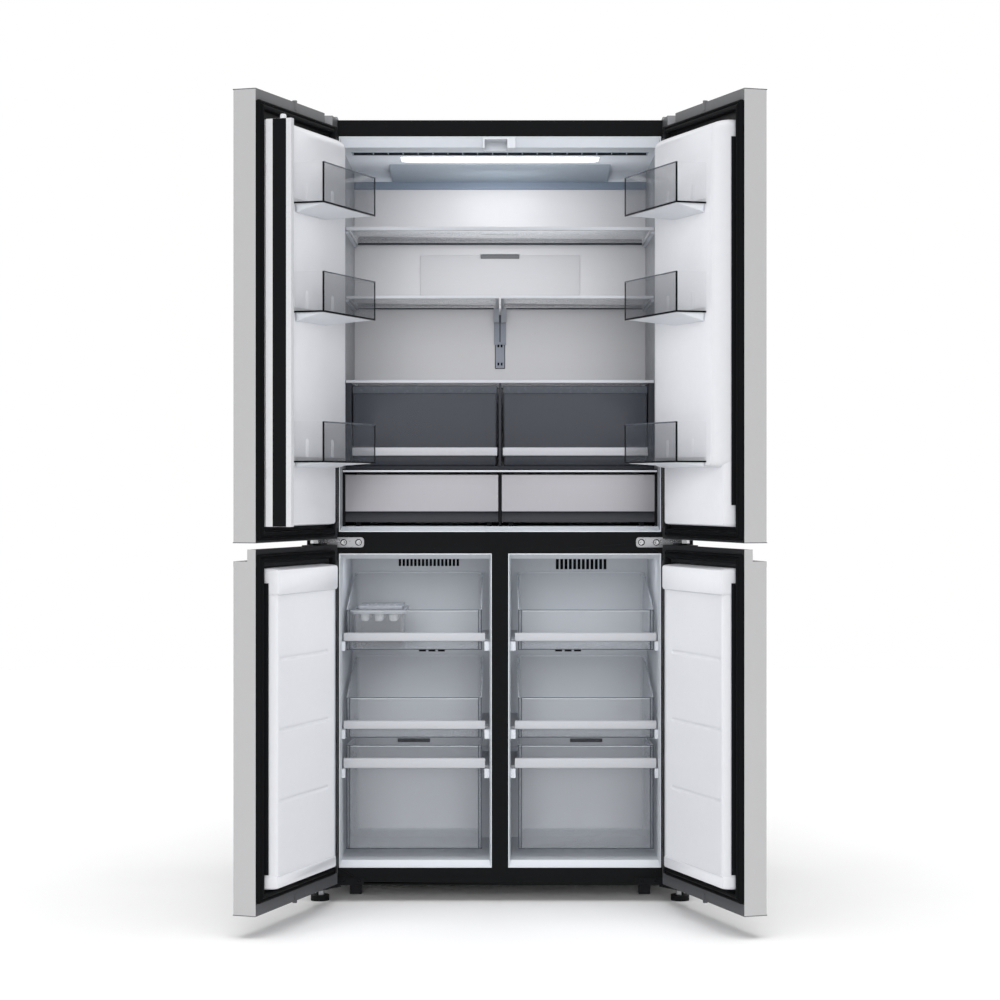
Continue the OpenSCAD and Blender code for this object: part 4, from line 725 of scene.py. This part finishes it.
# The ice maker's box, with its lid and its three rows of cups
(ice_x0, ice_x1), (ice_y0, ice_y1), (ice_low, ice_top) = (233, 350), (106, 294), (595, 685)
ice_body = "left_top_box"
box = tub((ice_x0, ice_x1), (ice_y0, ice_y1), ice_low, ice_top - 10, 2.5, 10, 3, 5)
cabinet_piece("ice_box_tub", box, ice_clear, ice_body, "left", 40, stands_for=["ice_box"], slot="ice_box")
section = [(1, ice_top - 11), (0, ice_top - 10), (0, ice_top - 1), (1, ice_top), (9.5, ice_top),
           (10, ice_top - 1), (10, ice_top - 10), (9.5, ice_top - 11)]
rim = carried((ice_x0 - 7, ice_x1 + 7, ice_y0 - 7, ice_y1 + 7), 10, section, 5, True)
lid = slab((ice_x0 + 2, ice_x1 - 8), (ice_y0 + 3, ice_y1 - 3), ice_top - 0.5, ice_top + 8, 2.5, 8)
cabinet_piece("ice_box_lid", joined(rim, lid), lid_clear, ice_body, "left")
cup = turned([(0.01, 655), (7, 655.5), (10, 658), (12.5, 684)], 20)
cups = [shifted(cup, (ice_x0 + 24 + 34.5 * i, ice_y0 + 22 + 29 * k, 0)) for i in range(3) for k in range(6)]
cabinet_piece("ice_box_cups", joined(*cups), lamp_shade, ice_body, "left", 40)

# %% [markdown]
# Air ways and the ceiling's corner
# Behind each grille the duct lies in shade, so a dark slab just behind the slots paints that
# shade. The ceiling ends in a bend and a blue-grey band. Sleeves cover the stems of the feet.

# %% Air ways and the ceiling's corner
for side, grille_x, grille_low in (("left", (100, 262), 776), ("right", (138, 274), 768)):
    # Painted shade: dark slabs behind the grille slots and the small vents
    painted_shades = joined(slab(grille_x, (433.5, 435), grille_low, 806, 0.2, 1),
                    slab((136, 210), (433.5, 435), 557, 573, 0.2, 1))
    cabinet_piece(side + "_duct_painted_shade", painted_shades, black_plain, side=side)
    # Painted shade: a dark slab shows the lowest drawer's slot as one wide dark mouth
    mouth = slab((178, 260), (427.6, 429.8), 331, 340, 0.5, 2)
    cabinet_piece(side + "_low_mouth_painted_shade", mouth, black_plain, side=side)
# Painted shade: black slabs line the top and back of the ceiling's air slot
slot_shade = joined(slab((-356, 356), (98, 143), 1790, 1792, 0.2, 1),
                    slab((-356, 356), (141.8, 142.9), 1783.3, 1791, 0.2, 0.4))
cabinet_piece("ceiling_slot_painted_shade", slot_shade, black_plain)
# Painted shade: a grey slab darkens the filter cover's slot
cabinet_piece("filter_slot_painted_shade", slab((-49.5, 49.5), (502, 503), 1563, 1576, 0.2, 1), cap_grey)

# Beside the sloping cover the ceiling bends down to the wall in a quarter of an ellipse
bend_front, bend_back, bend_low, ceiling = 344, 497, 1762, 1790.9
t = np.linspace(0, np.pi / 2, 12)
bend = np.column_stack([bend_front + 150 * np.sin(t), bend_low + 28.6 * np.cos(t)])
bend = np.concatenate([bend, [[bend_back, bend_low], [bend_back, ceiling], [bend_front, ceiling]]])
stem = shifted(turned([(0.01, 12.5), (9.4, 12.5), (9.4, 37.5), (0.01, 37.5)], 24), (426, 26, 0))
bend = drawn_along(bend, [276, 373.4])
for side in ("left", "right"):
    cabinet_piece(side + "_ceiling_bend", bend, fridge_white_painted_side_shade, side=side, corner=60)
    cabinet_piece(side + "_foot_sleeve", stem, hinge_steel, side=side)
band = beam((-373.5, 373.5), (492.4, 494.5), (1743, bend_low), 0.8)
cabinet_piece("ceiling_corner_band", band, band_blue)

# %% [markdown]
# Middle hinges and screws
# The middle hinge is a rounded steel plate with two large screws; its arm carries the pins of
# the doors above and below.

# %% Middle hinges and screws
middle_z, bottom_z, screw_x = 849, 50, (334, 369)
plate_thick = 3.2
for side in ("left", "right"):
    points, faces = slab((321, 408), (837, 861), 0, plate_thick, 0.8, 7)
    points = np.column_stack([points[:, 0], -points[:, 2], points[:, 1]])
    cabinet_piece(side + "_middle_plate", (points, faces), hinge_steel, side=side,
                  stands_for=["middle_hinges"], slot="hinge_steel")
    outline = [(376, -1), (408, -1), (444, -48), (443, -60), (436, -69), (424, -71), (418, -62), (412, -50)]
    points, faces = drawn_along(outline, [848, 849, 855, 856])
    cabinet_piece(side + "_middle_arm", (points[:, [1, 2, 0]], faces), screw_steel, side=side)
    pins = joined(turned([(0.01, 823), (4, 823), (5, 824), (5, 880), (4, 881), (0.01, 881)], 24),
                  turned([(0.01, 845.3), (9, 845.3), (9, 858.7), (0.01, 858.7)], 24))
    cabinet_piece(side + "_middle_pin", shifted(pins, (432, -58, 0)), black_plain, side=side)


def on_face(profile, x, z, out):
    """A profile of (radius, height) turned about a level axis, standing forward of a face at depth
    out."""
    points, faces = turned(profile, 24)
    return np.column_stack([points[:, 0] + x, out - points[:, 2], points[:, 1] + z]), faces


def screw_head(r):
    """The profile of a round screw head: a shallow dome with a drive recess in its middle."""
    return [(0.01, 0.5), (1.6, 0.5), (2.2, 1.5), (r - 1.6, 1.9), (r - 0.4, 1.2), (r, 0), (0.01, 0)]


ring_profile = [(0.01, 0.4), (7.4, 0.4), (7.9, 0), (0.01, 0)]
top_screw = turned([(0.01, 0), (5.5, 0), (5.2, 1.4), (3.8, 1.9), (1.4, 1.6), (0.01, 0.8)], 20)
for side in ("left", "right"):
    heads = joined(*[on_face(screw_head(6.5), x, middle_z, -plate_thick) for x in screw_x])
    cabinet_piece(side + "_middle_screws", heads, screw_steel, side=side, stands_for=["hinge_screws"])
    rings = joined(*[on_face(ring_profile, x, middle_z, -plate_thick) for x in screw_x])
    cabinet_piece(side + "_middle_screw_rings", rings, black_plain, side=side)
    heads = joined(*[on_face(screw_head(5.5), x, bottom_z, -3) for x in screw_x])
    cabinet_piece(side + "_bottom_screws", heads, black_plain, side=side)
    tops = joined(*[shifted(top_screw, (x, y, 1849)) for x in (406, 434) for y in (36, 72)])
    cabinet_piece(side + "_top_screws", tops, screw_steel, side=side)

# %% [markdown]
# Studio
# The appliance stands on a plain floor, lit by a broad soft light from the front, one from
# above and the bright surroundings. Small flat lights inside stand for the glow that pale walls
# throw at each other. The camera is far away with a long lens, as in a catalogue.

# %% Camera, floor and light
camera = bpy.data.objects.new("camera", bpy.data.cameras.new("camera"))
camera.data.lens = 86.4
camera.data.shift_y = -0.0163
camera_away, eye_level = 5.7408, 0.9874
camera.location = (0, -camera_away, eye_level)
camera.rotation_euler = (math.radians(90), 0, 0)
bpy.context.scene.collection.objects.link(camera)
bpy.context.scene.camera = camera
bpy.context.scene.view_settings.view_transform = "Standard"

floor_finish = finish("floor_finish", (250, 250, 250), (0.8, 0.9), 3, 0.02, 0.01, 0.1)
floor_half, floor_rows = 7, 9
lines = np.linspace(-floor_half, floor_half, floor_rows)
flat = np.zeros((floor_rows, floor_rows))
floor_points = np.stack([*np.meshgrid(lines, lines, indexing="ij"), flat], -1).reshape(-1, 3)
floor_mesh = bpy.data.meshes.new("floor")
floor_mesh.from_pydata(floor_points.tolist(), [], sheet_faces(floor_rows, floor_rows))
floor_mesh.materials.append(floor_finish)
floor = bpy.data.objects.new("floor", floor_mesh)
bpy.context.scene.collection.objects.link(floor)

world = bpy.data.worlds.new("studio")
bpy.context.scene.world = world
world.use_nodes = True
nodes, links = world.node_tree.nodes, world.node_tree.links
nodes.clear()
# The camera and mirrors see white, while the light that falls on things is softer
rays = nodes.new("ShaderNodeLightPath")
seen = nodes.new("ShaderNodeMath")
seen.operation = "MAXIMUM"
shown = nodes.new("ShaderNodeMath")
shown.operation = "MAXIMUM"
links.new(rays.outputs["Is Camera Ray"], seen.inputs[0])
links.new(rays.outputs["Is Glossy Ray"], seen.inputs[1])
links.new(seen.outputs["Value"], shown.inputs[0])
links.new(rays.outputs["Is Transmission Ray"], shown.inputs[1])
soft, white = nodes.new("ShaderNodeBackground"), nodes.new("ShaderNodeBackground")
soft.inputs["Color"].default_value, soft.inputs["Strength"].default_value = (1, 1, 1, 1), 0.5
white.inputs["Color"].default_value, white.inputs["Strength"].default_value = (1, 1, 1, 1), 1.0
blend = nodes.new("ShaderNodeMixShader")
out = nodes.new("ShaderNodeOutputWorld")
links.new(shown.outputs["Value"], blend.inputs[0])
links.new(soft.outputs["Background"], blend.inputs[1])
links.new(white.outputs["Background"], blend.inputs[2])
links.new(blend.outputs["Shader"], out.inputs["Surface"])


def sun(name, strength, softness, tilt):
    """A broad light from far away in front: softness is its width and tilt its height above the
    horizon, both in degrees. A white wall square to it gains strength / pi."""
    lamp = bpy.data.lights.new(name, "SUN")
    lamp.energy, lamp.angle = strength, math.radians(softness)
    holder = bpy.data.objects.new(name, lamp)
    holder.rotation_euler = (math.radians(90 - tilt), 0, 0)
    holder.visible_glossy = False
    bpy.context.scene.collection.objects.link(holder)


def panel_light(name, power, wide, high, place, turn):
    """A flat soft light, wide by high metres and turned in degrees, that mirrors and the camera
    don't see."""
    lamp = bpy.data.lights.new(name, "AREA")
    lamp.shape, lamp.size, lamp.size_y, lamp.energy = "RECTANGLE", wide, high, power
    holder = bpy.data.objects.new(name, lamp)
    holder.location = place
    holder.rotation_euler = [math.radians(t) for t in turn]
    holder.visible_glossy = holder.visible_camera = False
    bpy.context.scene.collection.objects.link(holder)


front_y = front * MM
sun("front_light", 1.75, 30, 12)
sun("top_light", 1.6, 50, 78)
for turn in (-90, 90):
    panel_light("door_fill", 1.3, 0.3, 1.3, (0, -0.42, 1.18), (90, 0, turn))
panel_light("lamp_light", 0.62, 0.42, 0.06, (0, front_y + 0.22, 1.775), (24, 0, 0))
panel_light("wall_glow", 0.15, 0.2, 0.05, (0, front_y + 0.34, 1.715), (70, 0, 0))
panel_light("ceiling_glow", 0.36, 0.66, 0.08, (0, front_y + 0.22, 1.66), (180, 0, 0))
panel_light("shelf_glow", 0.72, 0.5, 0.12, (0, front_y + 0.16, 1.56), (80, 0, 0))
for x in (-0.21, 0.21):
    panel_light("freezer_light", 0.17, 0.28, 0.05, (x, front_y + 0.06, 0.80), (66, 0, 0))
    panel_light("low_drawer_light", 0.03, 0.28, 0.04, (x, front_y + 0.09, 0.30), (60, 0, 0))
